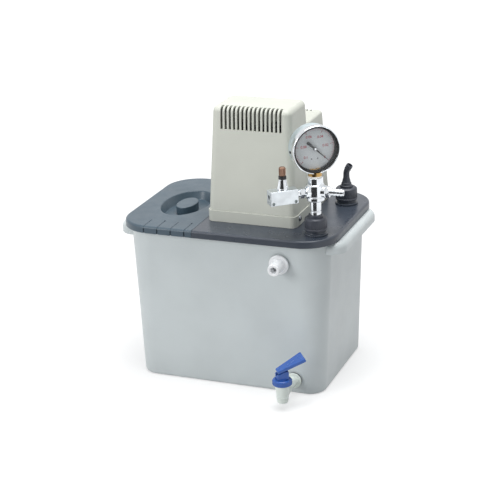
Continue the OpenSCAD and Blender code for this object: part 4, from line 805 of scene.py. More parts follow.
@dataclass
class Lid:
    """Slate lid in two pieces, with the finger recess and the port necks."""

    width: float = 310.0
    depth: float = 226.0
    corner: float = 48.7
    skirt: float = 10.0
    skirt_t: float = 2.5
    edge: float = 3.4
    split: float = -40.0

    def form(self) -> bmesh.types.BMesh:
        """The whole lid before it is parted."""
        bm = bmesh.new()
        loft(
            bm,
            [(self.width, self.depth, self.corner, z, 0, 0) for z in (SKIRT_Z, LID_TOP)],
            16,
        )
        soften(bm, self.edge, 6, 60, lambda p: p.z > LID_TOP - 0.1)
        base = [f for f in bm.faces if all(v.co.z < SKIRT_Z + 0.01 for v in f.verts)]
        bmesh.ops.inset_region(bm, faces=base, thickness=self.skirt_t, use_even_offset=True)
        made = bmesh.ops.extrude_face_region(bm, geom=base)["geom"]
        bmesh.ops.translate(bm, verts=[v for v in made if isinstance(v, bmesh.types.BMVert)], vec=(0, 0, 6.3))
        bmesh.ops.delete(bm, geom=[f for f in base if f.is_valid], context="FACES")
        bmesh.ops.recalc_face_normals(bm, faces=list(bm.faces))
        return bm

    def half(self, side: int) -> bmesh.types.BMesh:
        """The lid on one side of its joint, closed along the cut.

        Args:
            side: 1 for the right part, -1 for the left.

        Returns:
            Its mesh.
        """
        bm = self.form()
        made = bmesh.ops.bisect_plane(
            bm,
            geom=list(bm.verts) + list(bm.edges) + list(bm.faces),
            plane_co=(self.split + 0.2 * side, 0, 0),
            plane_no=(side, 0, 0),
            clear_inner=True,
        )
        rims = [e for e in made["geom_cut"] if isinstance(e, bmesh.types.BMEdge)]
        bmesh.ops.holes_fill(bm, edges=rims, sides=0)
        bmesh.ops.recalc_face_normals(bm, faces=list(bm.faces))
        x = self.split + 0.2 * side
        return soften(bm, 0.35, 2, 60, lambda p: abs(p.x - x) < 0.01 and p.z > SKIRT_Z + 0.5)

    def main_part(self) -> bmesh.types.BMesh:
        """Right part with its tongue and port necks."""
        tongue = block((self.split - 8, -99, 223.5), (self.split + 8, 99, 226.0))
        seat = block((self.split + 0.3, -99, 223.5), (self.split + 8, 99, 227.0))
        necks = []
        for port in (FRONT_PORT, REAR_PORT):
            profile = [
                (8.5, 226.5), (15, 226.5), (16, 230), (16, 232.4), (15.4, 233), (13.6, 233), (13, 233.8),
                (13, 247), (8.5, 247),
            ]
            necks.append(placed(soften(lathe(profile, 64), 0.4, 2, 30), on_port(port)))
        return joined(self.half(1), tongue, seat, *necks)

    def pocket(self, grow: float, low: float, levels: Sequence[tuple[float, float]]) -> bmesh.types.BMesh:
        """Oval form that narrows downwards.

        Args:
            grow: How much larger it is all round than the recess.
            low: Height of its floor.
            levels: Outset and height of each level above the floor, from the bottom up.

        Returns:
            Its closed mesh.
        """
        bm = bmesh.new()
        loops = []
        for outset, z in [(-7.0, low), *levels]:
            made = bmesh.ops.create_circle(bm, cap_ends=False, segments=96, radius=1)["verts"]
            bmesh.ops.scale(bm, verts=made, vec=(34 + grow + outset, 56 + grow + outset, 1))
            bmesh.ops.translate(bm, verts=made, vec=(-92.5, -2, z))
            loops.append(list({e for v in made for e in v.link_edges}))
        for a, b in zip(loops, loops[1:]):
            bmesh.ops.bridge_loops(bm, edges=a + b)
        bmesh.ops.holes_fill(bm, edges=loops[0] + loops[-1], sides=0)
        bmesh.ops.recalc_face_normals(bm, faces=list(bm.faces))
        return bm

    def groove(self, x: float, dot: bool) -> bmesh.types.BMesh:
        """Tool for one groove over the front edge, with the dot at its end.

        Args:
            x: Place of the groove.
            dot: True if it ends in a dot.

        Returns:
            Closed mesh of the tool.
        """
        front, deep, half = -self.depth / 2, 0.6, 0.45
        floor_r = self.edge - deep
        back = front + self.edge + 25
        outline = [
            (front - 2, SKIRT_Z - 2), (front + deep, SKIRT_Z - 2), (front + deep, LID_TOP - deep),
            (back, LID_TOP - deep), (back, LID_TOP + 2), (front - 2, LID_TOP + 2),
        ]
        tool = prism(outline, -half, half, {2: floor_r})
        stand = move(x, 0, 0) @ Matrix(((0, 0, 1, 0), (1, 0, 0, 0), (0, 1, 0, 0), (0, 0, 0, 1)))
        slot = block((x - 1.15, front - 2, SKIRT_Z - 3), (x + 1.15, front + 1.7, LID_TOP - self.edge))
        tool = cut(placed(tool, stand), slot, "UNION")
        if not dot:
            return tool
        return cut(tool, placed(rod(1.4, LID_TOP - 1.6, LID_TOP + 2, sides=24), move(x, back, 0)), "UNION")

    def cover(self) -> bmesh.types.BMesh:
        """Left part with the finger recess, the grip and the grooves."""
        bm = self.half(-1)
        bm = cut(bm, self.pocket(2.5, 215.5, [(0.0, 229.0)]), "UNION")
        levels = [
            (-6.2, 218.25), (-5.6, 219.0), (-0.9, 228.5), (-0.65, 229.2), (-0.1, 229.75), (0.9, 230.02),
            (1.0, 231.5),
        ]
        recess = self.pocket(0, 218.0, levels)
        bm = cut(bm, recess)
        for i in range(4):
            bm = cut(bm, self.groove(-110.5 + 20 * i, i % 2 == 1))
        grip = bmesh.new()
        made = bmesh.ops.create_circle(grip, cap_ends=True, segments=72, radius=1)["verts"]
        bmesh.ops.scale(grip, verts=made, vec=(13.75, 24, 1))
        bmesh.ops.translate(grip, verts=made, vec=(-92.5, -2, 229.8))
        raised = bmesh.ops.extrude_face_region(grip, geom=list(grip.faces), use_keep_orig=True)["geom"]
        foot = [v for v in raised if isinstance(v, bmesh.types.BMVert)]
        bmesh.ops.translate(grip, verts=foot, vec=(0, 0, -12.3))
        bmesh.ops.recalc_face_normals(grip, faces=list(grip.faces))
        soften(grip, 1.0, 3, 50, lambda p: p.z > 229)
        return joined(bm, grip)

    def build(self) -> None:
        """Makes the lid."""
        finish_piece("lid_right", self.main_part(), Finish.LID, Body.HEAD, ["main_lid"])
        finish_piece("lid_cover", self.cover(), Finish.COVER, Body.COVER, ["access_cover"])


@dataclass
class Housing:
    """Warm white housing over the motor: a base and a shell with cooling slots."""

    slots: int = 15
    pitch: float = 6.0
    slot_w: float = 3.3
    shell_t: float = 2.5
    top_r: float = 7.0
    block_r: float = 3.2

    def base(self) -> bmesh.types.BMesh:
        """Low frame that the shell stands on."""
        bm = bmesh.new()
        loft(bm, [(129, 148, 9, 230, 29.5, 7), (129, 148, 9, 246, 29.5, 7)], 8)
        soften(bm, 0.45, 3, 60)
        inner = bmesh.new()
        loft(inner, [(123, 142, 6, 233, 29.5, 7), (123, 142, 6, 250, 29.5, 7)], 8)
        bm = cut(bm, inner)
        posts = []
        for sx in (-1, 1):
            for sy in (-1, 1):
                place = move(MOTOR[0] + 36 * sx, MOTOR[1] + 36 * sy, 0)
                posts.append(placed(rod(6, 231, 246, sides=32), place))
        return joined(bm, *posts)

    def lean_form(
        self,
        left: float,
        right: float,
        front: float,
        back: float,
        drafts: Colour,
        top: float,
        edge: float,
        inset: float,
    ) -> bmesh.types.BMesh:
        """Leaning box with rounded upright edges and a rounded top.

        Args:
            left: Left side at the foot.
            right: Right side at the foot.
            front: Front at the foot.
            back: Back at the foot.
            drafts: How far the sides, the front and the back have come in at the top.
            top: Height of the top.
            edge: Radius of the edge round the top.
            inset: How much smaller the form is all round.

        Returns:
            Its closed mesh.
        """
        sides, fore, aft = (d * (top - SHELL_Z) / (top - self.top_r - SHELL_Z) for d in drafts)
        foot = SHELL_Z - (0.5 if inset else 0)
        x0, x1, y0, y1 = left + inset, right - inset, front + inset, back - inset
        bm = bmesh.new()
        loft(
            bm,
            [
                (x1 - x0, y1 - y0, 9 - inset, foot, (x0 + x1) / 2, (y0 + y1) / 2),
                (
                    x1 - x0 - 2 * sides, y1 - y0 - fore - aft, 9.2 - inset, top - inset,
                    (x0 + x1) / 2, (y0 + y1 + fore - aft) / 2,
                ),
            ],
            8,
        )
        return soften(bm, max(edge - inset, 0.8), 6, 50, lambda p: p.z > top - inset - 0.1)

    def slot_row(self, y0: float, y1: float, z0: float, z1: float) -> bmesh.types.BMesh:
        """Tool for a row of upright slots between two depths and heights."""
        tools = []
        for i in range(self.slots):
            x = MOTOR[0] + (i - (self.slots - 1) / 2) * self.pitch
            tool = block((x - self.slot_w / 2, y0, z0), (x + self.slot_w / 2, y1, z1))
            tools.append(soften(tool, 0.5, 2, 50))
        return joined(*tools)

    def shell(self) -> bmesh.types.BMesh:
        """Hollow shell: the front tower and the lower block behind it."""
        tower = (-33.6, 92.6, -66.1, 10.9, (7, 8.5, 0), 390, self.top_r)
        rear = (-34.5, 93.5, -20, 80.6, (5.6, 0, 4), 358, self.block_r)
        t = self.shell_t
        bm = cut(self.lean_form(*tower, 0), self.lean_form(*rear, 0), "UNION")
        inner = cut(self.lean_form(*tower, t), self.lean_form(*rear, t), "UNION")
        bm = cut(bm, inner)
        bm = cut(bm, self.slot_row(-72, -46.6, 359.5, 396))
        bm = cut(bm, self.slot_row(5.9, 15.9, 381, 396))
        return cut(bm, self.slot_row(65.6, 86, 349, 364))

    def screws(self) -> bmesh.types.BMesh:
        """Pan-head screws at the sides and on the posts."""
        places = []
        for y in (-51, 60):
            places += [move(94, y, 240) @ turn(90, "Y"), move(-35, y, 240) @ turn(-90, "Y")]
        for sx in (-1, 1):
            for sy in (-1, 1):
                x, y = MOTOR[0] + 36 * sx, MOTOR[1] + 36 * sy
                places += [move(x, y, 226.3) @ turn(180, "X"), move(x, y, 250)]
        parts = []
        for place in places:
            profile = [(0, -12), (2, -12), (2, 0), (3.8, 0), (3.6, 1.4), (2.4, 2.3), (0, 2.4)]
            head = soften(lathe(profile, 32), 0.15, 2, 35)
            for turned in (0, 90):
                head = cut(head, placed(block((-2.2, -0.45, 1.3), (2.2, 0.45, 4)), turn(turned, "Z")))
            parts.append(placed(head, place))
        return joined(*parts)

    def build(self) -> None:
        """Makes the housing."""
        finish_piece("housing_frame", self.base(), Finish.HOUSING, Body.HEAD, ["housing_base"])
        finish_piece("housing_cowl", self.shell(), Finish.HOUSING, Body.HEAD, ["housing_shell"], 28)
        finish_piece("pan_screws", self.screws(), Finish.STEEL, Body.HEAD, ["housing_screws"])


@dataclass
class Ports:
    """Union caps, the chrome stack on the front port and the elbow on the rear one."""

    cap_r: float = 15.4
    cap_z: float = 237.0
    cap_h: float = 17.5
    bend: Colour = (142, 57, 273)
    bend_angle: float = 30.0

    def cap(self, port: tuple[float, float], hole: float, collar: float) -> bmesh.types.BMesh:
        """Union cap with a ribbed skirt.

        Args:
            port: Place of the port.
            hole: Radius of the hole.
            collar: Height of the collar round the hole.

        Returns:
            Its mesh.
        """
        low, high, r = self.cap_z, self.cap_z + self.cap_h, self.cap_r - 0.35
        profile = [
            (13.3, low), (self.cap_r - 0.5, low), (self.cap_r, low + 0.5), (self.cap_r, low + 2.2),
            (r - 0.6, low + 3), (r, high - 3.4), (r - 0.4, high - 1.8), (r - 2.6, high),
        ]
        if collar:
            profile += [(hole + 2, high), (hole + 2, high + collar)]
        profile += [(hole, high + collar), (hole, high - 2.5), (13.3, high - 2.5)]
        parts = [soften(lathe(profile, 96), 0.35, 2, 25)]
        for i in range(36):
            rib = soften(rod(0.45, low + 2.4, high - 3.2, sides=10), 0.15, 1, 50)
            parts.append(placed(rib, turn(10 * i, "Z") @ move(r - 0.45, 0, 0)))
        return placed(joined(*parts), on_port(port))

    def stack(self) -> bmesh.types.BMesh:
        """Chrome stem with the check ball's seat."""
        profile = [
            (2.8, 247.2), (12.8, 247.2), (12.8, 250.2), (7.6, 250.2), (7.6, 262), (7.1, 262.6), (7.1, 263.6),
            (7.6, 264.2), (7.6, 277.5), (4.1, 277.5), (4.1, 262), (2.8, 262),
        ]
        return placed(soften(lathe(profile, 72), 0.25, 2, 25), on_port(FRONT_PORT))

    def cross(self) -> bmesh.types.BMesh:
        """Chrome cross with its two arms and the gauge's socket."""
        profile = [
            (2.8, 269.4), (4.05, 269.4), (4.05, 277.5), (11.4, 277.5), (12.2, 278.6), (12.2, 282.6),
            (11.7, 283.2), (11.7, 284), (12.2, 284.6), (12.2, 299), (11.4, 300), (10.6, 300.6), (10.6, 309.2),
            (9.9, 310), (2.8, 310),
        ]
        parts = [placed(soften(lathe(profile, 96), 0.25, 2, 25), on_port(FRONT_PORT))]
        for heading in (3, 220):
            arm = soften(lathe([(3, 5), (8.5, 5), (8.5, 14.2), (7.7, 15), (3, 15)], 56), 0.2, 2, 25)
            parts.append(placed(arm, on_arm(heading) @ turn(90, "Y")))
        return joined(*parts)

    def barb(self) -> bmesh.types.BMesh:
        """Hose barb with four ribs and a hexagon."""
        rib = (38.5 - 15 - 6) / 4
        profile = [(2, 15), (4, 15), (4, 21)]
        for i in range(4):
            z = 21 + i * rib
            profile += [(5.6 - 0.2 * i, z + 0.5), (4.4 - 0.1 * i, z + rib - 0.05)]
        profile += [(4.1, 38.5), (2, 38.5)]
        body = soften(lathe(profile, 48), 0.15, 2, 30)
        hexagon = cut(rod(8, 15, 20, sides=6), rod(8.6, 14.9, 20.1, 7.2, 48), "INTERSECT")
        return placed(joined(body, soften(hexagon, 0.2, 2, 40)), on_arm(3) @ turn(90, "Y"))

    def nipple(self) -> bmesh.types.BMesh:
        """Short tube with a hexagon, between the cross and the valve."""
        body = lathe([(3, 15), (5, 15), (5, 26.5), (3, 26.5)], 48)
        hexagon = soften(rod(7.5, 16.5, 22.5, sides=6), 0.5, 2, 40)
        return placed(joined(body, hexagon), on_arm(220) @ turn(90, "Y"))

    def elbow(self) -> bmesh.types.BMesh:
        """Black hose elbow: two steps, an upright tube and a bend."""
        profile = [
            (3.0, 247.2), (12.8, 247.2), (12.8, 250.2), (8.7, 250.2), (8.7, 256.4), (8.2, 257.2),
            (7.4, 257.6), (7.0, 260.6), (6.2, 261.2), (5.2, 266), (4.5, 268), (4.3, 273), (3.0, 273),
            (3.0, 250),
        ]
        upright = placed(soften(lathe(profile, 56), 0.3, 2, 25), on_port(REAR_PORT))
        bm = bmesh.new()
        rings = []
        for r in (4.3, 3.0):
            verts = bmesh.ops.create_circle(bm, cap_ends=False, segments=40, radius=r)["verts"]
            rings.append(list({e for v in verts for e in v.link_edges}))
        faces = [f for f in bmesh.ops.bridge_loops(bm, edges=rings[0] + rings[1])["faces"]]
        bmesh.ops.translate(bm, verts=list(bm.verts), vec=(126, 57, 272.5))
        made = bmesh.ops.spin(
            bm,
            geom=faces,
            cent=self.bend,
            axis=(0, 1, 0),
            angle=math.radians(self.bend_angle),
            steps=10,
            use_merge=False,
        )["geom_last"]
        faces = [f for f in made if isinstance(f, bmesh.types.BMFace)]
        made = bmesh.ops.extrude_face_region(bm, geom=faces)["geom"]
        leaning = math.radians(self.bend_angle)
        straight = Vector((math.sin(leaning), 0, math.cos(leaning))) * 7.2
        bmesh.ops.translate(bm, verts=[v for v in made if isinstance(v, bmesh.types.BMVert)], vec=straight)
        bmesh.ops.recalc_face_normals(bm, faces=list(bm.faces))
        soften(bm, 0.4, 2, 60)
        tip = move(*self.bend) @ turn(self.bend_angle, "Y") @ move(-16, 0, 0)
        barbs = [placed(lathe([(4.1, z), (4.95, z + 0.2), (4.1, z + 2)], 40), tip) for z in (-0.4, 2.2, 4.8)]
        return joined(upright, bm, *barbs)

    def build(self) -> None:
        """Makes the fittings on both ports."""
        cap = self.cap(FRONT_PORT, 7.9, 3.5)
        finish_piece("cap_front", cap, Finish.CHARCOAL, Body.FRONT_CAP, ["front_cap"])
        finish_piece("cap_rear", self.cap(REAR_PORT, 9.0, 0), Finish.CHARCOAL, Body.REAR_CAP, ["rear_cap"])
        finish_piece("check_stem", self.stack(), Finish.CHROME, Body.HEAD, ["check_body"])
        finish_piece("cross_body", self.cross(), Finish.CHROME, Body.HEAD, ["cross_fitting"])
        finish_piece("vacuum_barb", self.barb(), Finish.CHROME, Body.HEAD, ["hose_barb"])
        finish_piece("nipple", self.nipple(), Finish.CHROME, Body.HEAD, ["valve_nipple"])
        finish_piece("elbow", self.elbow(), Finish.CHARCOAL, Body.ELBOW, ["rear_elbow"])
        tape = soften(lathe([(9.0, 310.0), (10.3, 310.0), (10.0, 311.6), (9.0, 311.9)], 64), 0.2, 1, 25)
        finish_piece("thread_tape", placed(tape, on_port(FRONT_PORT)), Finish.TAPE, Body.HEAD)


@dataclass
class NeedleValve:
    """Bleed valve on the left arm: block, bonnet, ring and knurled knob."""

    length: float = 38.5
    depth: float = 16.0
    height: float = 19.3
    z: float = 279.0

    def block_body(self) -> bmesh.types.BMesh:
        """Milled block with two cross holes and a port in its end."""
        half = self.length / 2
        bm = block((-half, -self.depth / 2, 0), (half, self.depth / 2, self.height))
        soften(bm, 0.7, 3, 50)
        for x in (-15.5, 15.5):
            bm = cut(bm, placed(rod(2.2, -20, 20, sides=32), move(x, 0, 3.1) @ turn(90, "X")))
        bm = cut(bm, placed(rod(3.0, 0, 12, sides=40), move(half - 8, 0, 11) @ turn(90, "Y")))
        return placed(bm, on_valve(self.z))

    def knob(self) -> bmesh.types.BMesh:
        """Copper knob with a diamond knurl."""
        profile = [(0, 317.1), (3.7, 317.1), (4.0, 317.8), (4.0, 328.2), (3.4, 329), (0, 329)]
        core = soften(lathe(profile, 48), 0.2, 2, 25)
        core = cut(core, block((-6, -0.45, 327.6), (6, 0.45, 330)))
        parts = [core]
        for i in range(18):
            rib = rod(0.5, 318.2, 327.7, sides=4)
            parts.append(placed(rib, turn(20 * i, "Z") @ move(4.05, 0, 0)))
        return placed(joined(*parts), on_valve(0))

    def build(self) -> None:
        """Makes the valve."""
        finish_piece("valve_body", self.block_body(), Finish.SATIN, Body.HEAD, ["valve_block"])
        profile = [
            (2.25, 294.5), (4.2, 294.5), (4.2, 298.3), (7.6, 298.3), (7.6, 300), (7.2, 300.4), (4.9, 312.7),
            (2.25, 312.7),
        ]
        bonnet = soften(lathe(profile, 64), 0.3, 2, 25)
        finish_piece("bonnet", placed(bonnet, on_valve(0)), Finish.CHROME, Body.HEAD, ["valve_bonnet"])
        profile = [
            (2.25, 312.7), (5.2, 312.7), (5.2, 314.5), (4.8, 314.8), (5.2, 315.1), (5.2, 316.8),
            (2.25, 316.8),
        ]
        ring = soften(lathe(profile, 56), 0.2, 2, 25)
        finish_piece("gland_ring", placed(ring, on_valve(0)), Finish.BLACK, Body.HEAD, ["valve_ring"])
        finish_piece("knurled_knob", self.knob(), Finish.COPPER, Body.KNOB, ["valve_knob"])


@dataclass
class Gauge:
    """Vacuum gauge: case, bezel, dial with its print, pointer and glass."""

    bezel_r: float = 33.0
    case_r: float = 31.0
    zero: float = -43.0
    step: float = 53.6

    def case(self) -> bmesh.types.BMesh:
        """Cup behind the bezel."""
        r = self.case_r
        profile = [
            (0, -18), (r - 2.5, -18), (r - 0.7, -17.3), (r, -15.5), (r, 3.3), (r - 1.5, 3.3),
            (r - 1.5, -16.5), (0, -16.5),
        ]
        return placed(soften(lathe(profile, 128), 0.3, 2, 25), on_gauge())

    def plug(self) -> bmesh.types.BMesh:
        """Rubber plug in the side of the cup."""
        way = turn(-84, "Z") @ move(0, 0.1 - self.case_r, -8) @ turn(90, "X")
        return placed(soften(rod(1.9, 0, 1.0, sides=32), 0.3, 2, 50), on_gauge() @ way)

    def bezel(self) -> bmesh.types.BMesh:
        """Rolled ring that holds the glass."""
        r = self.bezel_r
        profile = [
            (31.05, 0), (r - 0.4, 0), (r, 0.6), (r, 6.3), (r - 0.3, 7.4), (r - 0.9, 8), (r - 1.4, 8),
            (r - 1.9, 7.6), (31.05, 6.8),
        ]
        return placed(soften(lathe(profile, 144), 0.15, 2, 35), on_gauge())

    def gasket(self) -> bmesh.types.BMesh:
        """Dark rings over and under the glass, inside the bezel."""
        lip = [(28.7, 4.95), (31.0, 4.95), (31.0, 7.3), (30.4, 7.5), (28.8, 5.6)]
        over = soften(lathe(lip, 144), 0.15, 2, 25)
        under = lathe([(27.9, -0.9), (29.25, -0.9), (29.25, 3.25), (28.4, 3.25)], 128)
        return placed(joined(over, under), on_gauge())

    def dial(self) -> bmesh.types.BMesh:
        """Dial plate with its rim."""
        bm = soften(lathe([(0, -2), (29.3, -2), (29.3, -1), (0, -1)], 128), 0.2, 2, 30)
        return placed(bm, on_gauge())

    def tick(self, angle: float, inner: float, outer: float, width: float) -> bmesh.types.BMesh:
        """Mark along a radius of the dial."""
        return placed(block((inner, -width / 2, -1.02), (outer, width / 2, -0.96)), turn(angle, "Z"))

    def number(self, text: str, angle: float, radius: float, size: float) -> bmesh.types.BMesh:
        """Upright number on the dial.

        Args:
            text: Digits of the number.
            angle: Direction from the dial's centre.
            radius: Distance from the dial's centre.
            size: Height of the letters.

        Returns:
            Its thin closed mesh.
        """
        curve = bpy.data.curves.new("number", "FONT")
        curve.body, curve.size, curve.align_x, curve.align_y = text, size, "CENTER", "CENTER"
        curve.extrude, curve.resolution_u, curve.offset = 0.03, 4, 0.06
        thing = bpy.data.objects.new("number", curve)
        bpy.context.scene.collection.objects.link(thing)
        graph = bpy.context.evaluated_depsgraph_get()
        mesh = bpy.data.meshes.new_from_object(thing.evaluated_get(graph))
        bm = bmesh.new()
        bm.from_mesh(mesh)
        bpy.data.objects.remove(thing)
        bpy.data.curves.remove(curve)
        bpy.data.meshes.remove(mesh)
        bmesh.ops.remove_doubles(bm, verts=list(bm.verts), dist=1e-4)
        a = math.radians(angle)
        return placed(bm, move(radius * math.cos(a), radius * math.sin(a), -0.985))

    def print_on_dial(self) -> bmesh.types.BMesh:
        """Ticks, arc and numbers of the scale."""
        parts = []
        for i in range(51):
            angle = self.zero + self.step * i / 10
            major, half = i % 10 == 0, i % 5 == 0
            inner = 22.6 if major else 24.2 if half else 25.2
            parts.append(self.tick(angle, inner, 27.2, 0.55 if major else 0.28))
        arc = bmesh.new()
        corners = ((27.2, -1.02), (27.5, -1.02), (27.5, -0.96), (27.2, -0.96))
        verts = [arc.verts.new((r, 0, z)) for r, z in corners]
        face = arc.faces.new(verts)
        sweep = math.radians(self.step * 5)
        bmesh.ops.spin(arc, geom=[face], cent=(0, 0, 0), axis=UP, angle=sweep, steps=90, use_merge=False)
        bmesh.ops.recalc_face_normals(arc, faces=list(arc.faces))
        parts.append(placed(arc, turn(self.zero, "Z")))
        places = (
            ("0", -43, 19.6), ("0.02", 10, 15.9), ("0.04", 61, 17.2), ("0.06", 115, 18), ("0.08", 167, 15.4),
            ("0.1", 222, 16.4),
        )
        for text, angle, radius in places:
            parts.append(self.number(text, angle, radius, 4.9))
        return placed(joined(*parts), on_gauge())

    def dial_screws(self) -> bmesh.types.BMesh:
        """Two small screws low on the dial."""
        parts = []
        for angle in (-107, -73):
            head = soften(rod(0.95, -1.2, -0.4, sides=24), 0.2, 2, 50)
            head = cut(head, block((-1.2, -0.15, -0.7), (1.2, 0.15, 0)))
            a = math.radians(angle)
            parts.append(placed(head, move(14.5 * math.cos(a), 14.5 * math.sin(a), 0)))
        return placed(joined(*parts), on_gauge())

    def pointer(self) -> bmesh.types.BMesh:
        """Needle with a broad tail."""
        side = [(23.5, 0.3), (2, 1.1), (-2, 1.2), (-13.2, 2.1), (-14.9, 1.2)]
        outline = [(23.5, -0.3), *side, *((x, -y) for x, y in reversed(side[1:]))]
        needle = placed(prism(outline, 1.2, 2.0), turn(self.zero, "Z"))
        boss, arbor = soften(rod(2.6, 0.9, 2.1, sides=40), 0.3, 2, 50), rod(0.8, -7.5, 2.2, sides=24)
        return placed(joined(needle, boss, arbor), on_gauge())

    def build(self) -> None:
        """Makes the gauge."""
        finish_piece("gauge_cup", self.case(), Finish.CASE, Body.HEAD, ["gauge_case"])
        finish_piece("gauge_plug", self.plug(), Finish.RUBBER, Body.HEAD)
        finish_piece("gauge_ring", self.bezel(), Finish.CHROME, Body.HEAD, ["gauge_bezel"])
        finish_piece("gauge_gasket", self.gasket(), Finish.RUBBER, Body.HEAD)
        finish_piece("dial_plate", self.dial(), Finish.DIAL, Body.HEAD, ["gauge_dial"])
        finish_piece("dial_print", self.print_on_dial(), Finish.RED_INK, Body.HEAD)
        finish_piece("dial_screws", self.dial_screws(), Finish.STEEL, Body.HEAD)
        finish_piece("needle", self.pointer(), Finish.BLACK, Body.POINTER, ["gauge_pointer"])
        hub = soften(lathe([(0, 2.1), (1.9, 2.1), (1.9, 2.7), (1.2, 3.0), (0, 3.0)], 32), 0.15, 2, 25)
        finish_piece("needle_hub", placed(hub, on_gauge()), Finish.CHROME, Body.POINTER)


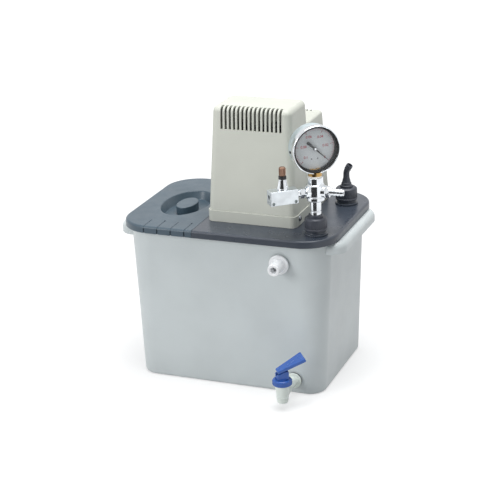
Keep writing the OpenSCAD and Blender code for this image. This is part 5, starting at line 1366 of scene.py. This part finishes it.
@dataclass
class Studio:
    """Camera, floor and lights."""

    lens: float = 110.137
    eye: Colour = (0.75142, -1.89204, 0.91603)
    roll: float = -1.8595

    def camera(self) -> None:
        """Camera at the photograph's angle."""
        data = bpy.data.cameras.new("camera")
        data.lens, data.sensor_width, data.clip_start, data.clip_end = self.lens, 36, 0.05, 60
        thing = bpy.data.objects.new("camera", data)
        bpy.context.scene.collection.objects.link(thing)
        right, up = Vector((0.92940, 0.36907, 0)), Vector((-0.12748, 0.32103, 0.93845))
        back = Vector((0.34635, -0.87220, 0.34542))
        frame = Matrix((right, up, back)).transposed().to_4x4()
        roll = Matrix.Rotation(math.radians(self.roll), 4, "Z")
        thing.matrix_world = Matrix.Translation(self.eye) @ frame @ roll
        bpy.context.scene.camera = thing

    def seen_white(self, tree: bpy.types.NodeTree) -> bpy.types.NodeSocket:
        """Value of 1 for camera, glossy and transmission rays."""
        path = tree.nodes.new("ShaderNodeLightPath")
        first, second = tree.nodes.new("ShaderNodeMath"), tree.nodes.new("ShaderNodeMath")
        first.operation = second.operation = "MAXIMUM"
        tree.links.new(path.outputs["Is Camera Ray"], first.inputs[0])
        tree.links.new(path.outputs["Is Glossy Ray"], first.inputs[1])
        tree.links.new(first.outputs[0], second.inputs[0])
        tree.links.new(path.outputs["Is Transmission Ray"], second.inputs[1])
        return second.outputs[0]

    def world(self, strength: float) -> None:
        """White to the camera and a soft even light on the object."""
        world = bpy.data.worlds.new("studio")
        bpy.context.scene.world = world
        world.use_nodes = True
        tree = world.node_tree
        tree.nodes.clear()
        output = tree.nodes.new("ShaderNodeOutputWorld")
        seen, soft = (tree.nodes.new("ShaderNodeBackground") for _ in range(2))
        mix = tree.nodes.new("ShaderNodeMixShader")
        seen.inputs["Color"].default_value = (1, 1, 1, 1)
        seen.inputs["Strength"].default_value = 1.0
        soft.inputs["Color"].default_value = (0.94, 0.97, 1, 1)
        soft.inputs["Strength"].default_value = strength
        tree.links.new(self.seen_white(tree), mix.inputs[0])
        tree.links.new(soft.outputs[0], mix.inputs[1])
        tree.links.new(seen.outputs[0], mix.inputs[2])
        tree.links.new(mix.outputs[0], output.inputs[0])

    def floor(self) -> None:
        """Pale floor that keeps the shadow."""
        bm = bmesh.new()
        bmesh.ops.create_grid(bm, x_segments=1, y_segments=1, size=8)
        thing = as_object(bm, "floor")
        material = bpy.data.materials.new("floor_card")
        material.use_nodes = True
        tree = material.node_tree
        tree.nodes.clear()
        output = tree.nodes.new("ShaderNodeOutputMaterial")
        kinds = ("ShaderNodeBsdfDiffuse", "ShaderNodeEmission", "ShaderNodeAddShader")
        card, glow, both = (tree.nodes.new(kind) for kind in kinds)
        speckle = tree.nodes.new("ShaderNodeTexNoise")
        speckle.inputs["Scale"].default_value = 40
        ramp = tree.nodes.new("ShaderNodeValToRGB")
        for element, grey in zip(ramp.color_ramp.elements, (0.56, 0.57)):
            element.color = (grey, grey, grey, 1)
        tree.links.new(speckle.outputs["Fac"], ramp.inputs["Fac"])
        tree.links.new(ramp.outputs["Color"], card.inputs["Color"])
        share = tree.nodes.new("ShaderNodeMath")
        share.operation = "MULTIPLY"
        kinds = ("ShaderNodeTexCoord", "ShaderNodeVectorMath", "ShaderNodeMapRange")
        place, far, fade = (tree.nodes.new(kind) for kind in kinds)
        far.operation = "LENGTH"
        for key, value in {"From Min": 0.7, "From Max": 1.9, "To Min": 0.5, "To Max": 1.0}.items():
            fade.inputs[key].default_value = value
        tree.links.new(place.outputs["Object"], far.inputs[0])
        tree.links.new(far.outputs["Value"], fade.inputs["Value"])
        tree.links.new(fade.outputs["Result"], share.inputs[1])
        tree.links.new(self.seen_white(tree), share.inputs[0])
        tree.links.new(share.outputs[0], glow.inputs["Strength"])
        tree.links.new(card.outputs[0], both.inputs[0])
        tree.links.new(glow.outputs[0], both.inputs[1])
        tree.links.new(both.outputs[0], output.inputs["Surface"])
        thing.data.materials.append(material)

    def lamp(self, name: str, place: Colour, size: float, watts: float) -> None:
        """Square soft lamp that looks at the pump."""
        data = bpy.data.lights.new(name, "AREA")
        data.energy, data.size = watts, size
        thing = bpy.data.objects.new(name, data)
        thing.location = place
        thing.rotation_mode = "QUATERNION"
        thing.rotation_quaternion = (Vector(place) - Vector((0, 0, 0.2))).to_track_quat("Z", "Y")
        bpy.context.scene.collection.objects.link(thing)

    def flag(self, name: str, place: Colour, w: float, h: float, heading: float) -> None:
        """Dark card that only shows in the bright metal."""
        bm = bmesh.new()
        bmesh.ops.create_grid(bm, x_segments=1, y_segments=1, size=0.5)
        bmesh.ops.scale(bm, verts=list(bm.verts), vec=(w, h, 1))
        thing = as_object(placed(bm, Matrix.Translation(place) @ turn(heading, "Z") @ turn(90, "X")), name)
        material = bpy.data.materials.get("flag_cloth") or bpy.data.materials.new("flag_cloth")
        material.use_nodes = True
        material.node_tree.nodes["Principled BSDF"].inputs["Base Color"].default_value = (0.01, 0.01, 0.01, 1)
        thing.data.materials.append(material)
        thing.visible_camera = thing.visible_diffuse = thing.visible_shadow = False

    def build(self) -> None:
        """Sets up the studio."""
        self.camera()
        self.world(0.35)
        self.floor()
        self.lamp("overhead", (0.2, 0.0, 2.3), 1.5, 46)
        self.lamp("front_left", (-1.4, -2.3, 1.3), 1.3, 29)
        self.flag("flag_front", (0.15, -0.64, 0.29), 0.9, 0.56, 3)
        bpy.context.scene.view_settings.view_transform = "Standard"


CAD_FINISHES: dict[Finish, tuple[str, ...]] = {
    Finish.RUBBER: ("tank_gaskets", "tap_seal"),
    Finish.WHITE: (
        "tank_nuts", "front_slip_ring", "rear_slip_ring", "ejector_bodies", "riser_pipes", "suction_pipes",
    ),
    Finish.STEEL: (
        "tap_stem", "tap_spring", "motor_plate", "motor_stator", "motor_bolts", "shaft_bearings",
        "rotor_shaft", "rotor_core", "pump_column", "check_ball",
    ),
    Finish.CAST: ("motor_bells",),
    Finish.COPPER: ("motor_windings",),
    Finish.BLACK: (
        "capacitor", "cord_gland", "cooling_fan", "impeller", "switch_frame", "switch_rocker", "pump_casing",
        "pump_cover",
    ),
    Finish.CHROME: ("valve_needle",),
    Finish.BRASS: ("gauge_socket", "bourdon_tube", "gauge_movement", "gauge_sector"),
    Finish.GLASS: ("gauge_glass",),
}


def dress_cad(nodes: dict[str, bpy.types.Object]) -> None:
    """Gives each CAD node that stays in view its finish.

    Args:
        nodes: CAD nodes by name.
    """
    for finish, names in CAD_FINISHES.items():
        for name in names:
            node = nodes[name]
            node.data.materials.clear()
            node.data.materials.append(finish.material())
            finish.slot
            log.info("%s: %s", name, finish.name.lower())


def main() -> None:
    """Builds the pump's looks and the studio."""
    logging.basicConfig(level=logging.INFO, format="%(message)s")
    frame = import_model()
    dress_cad(frame["nodes"])
    for part in (Tank(), Overflow(), Tap(), Lid(), Housing(), Ports(), NeedleValve(), Gauge()):
        part.build()
    Studio().build()


if __name__ == "__main__":
    main()
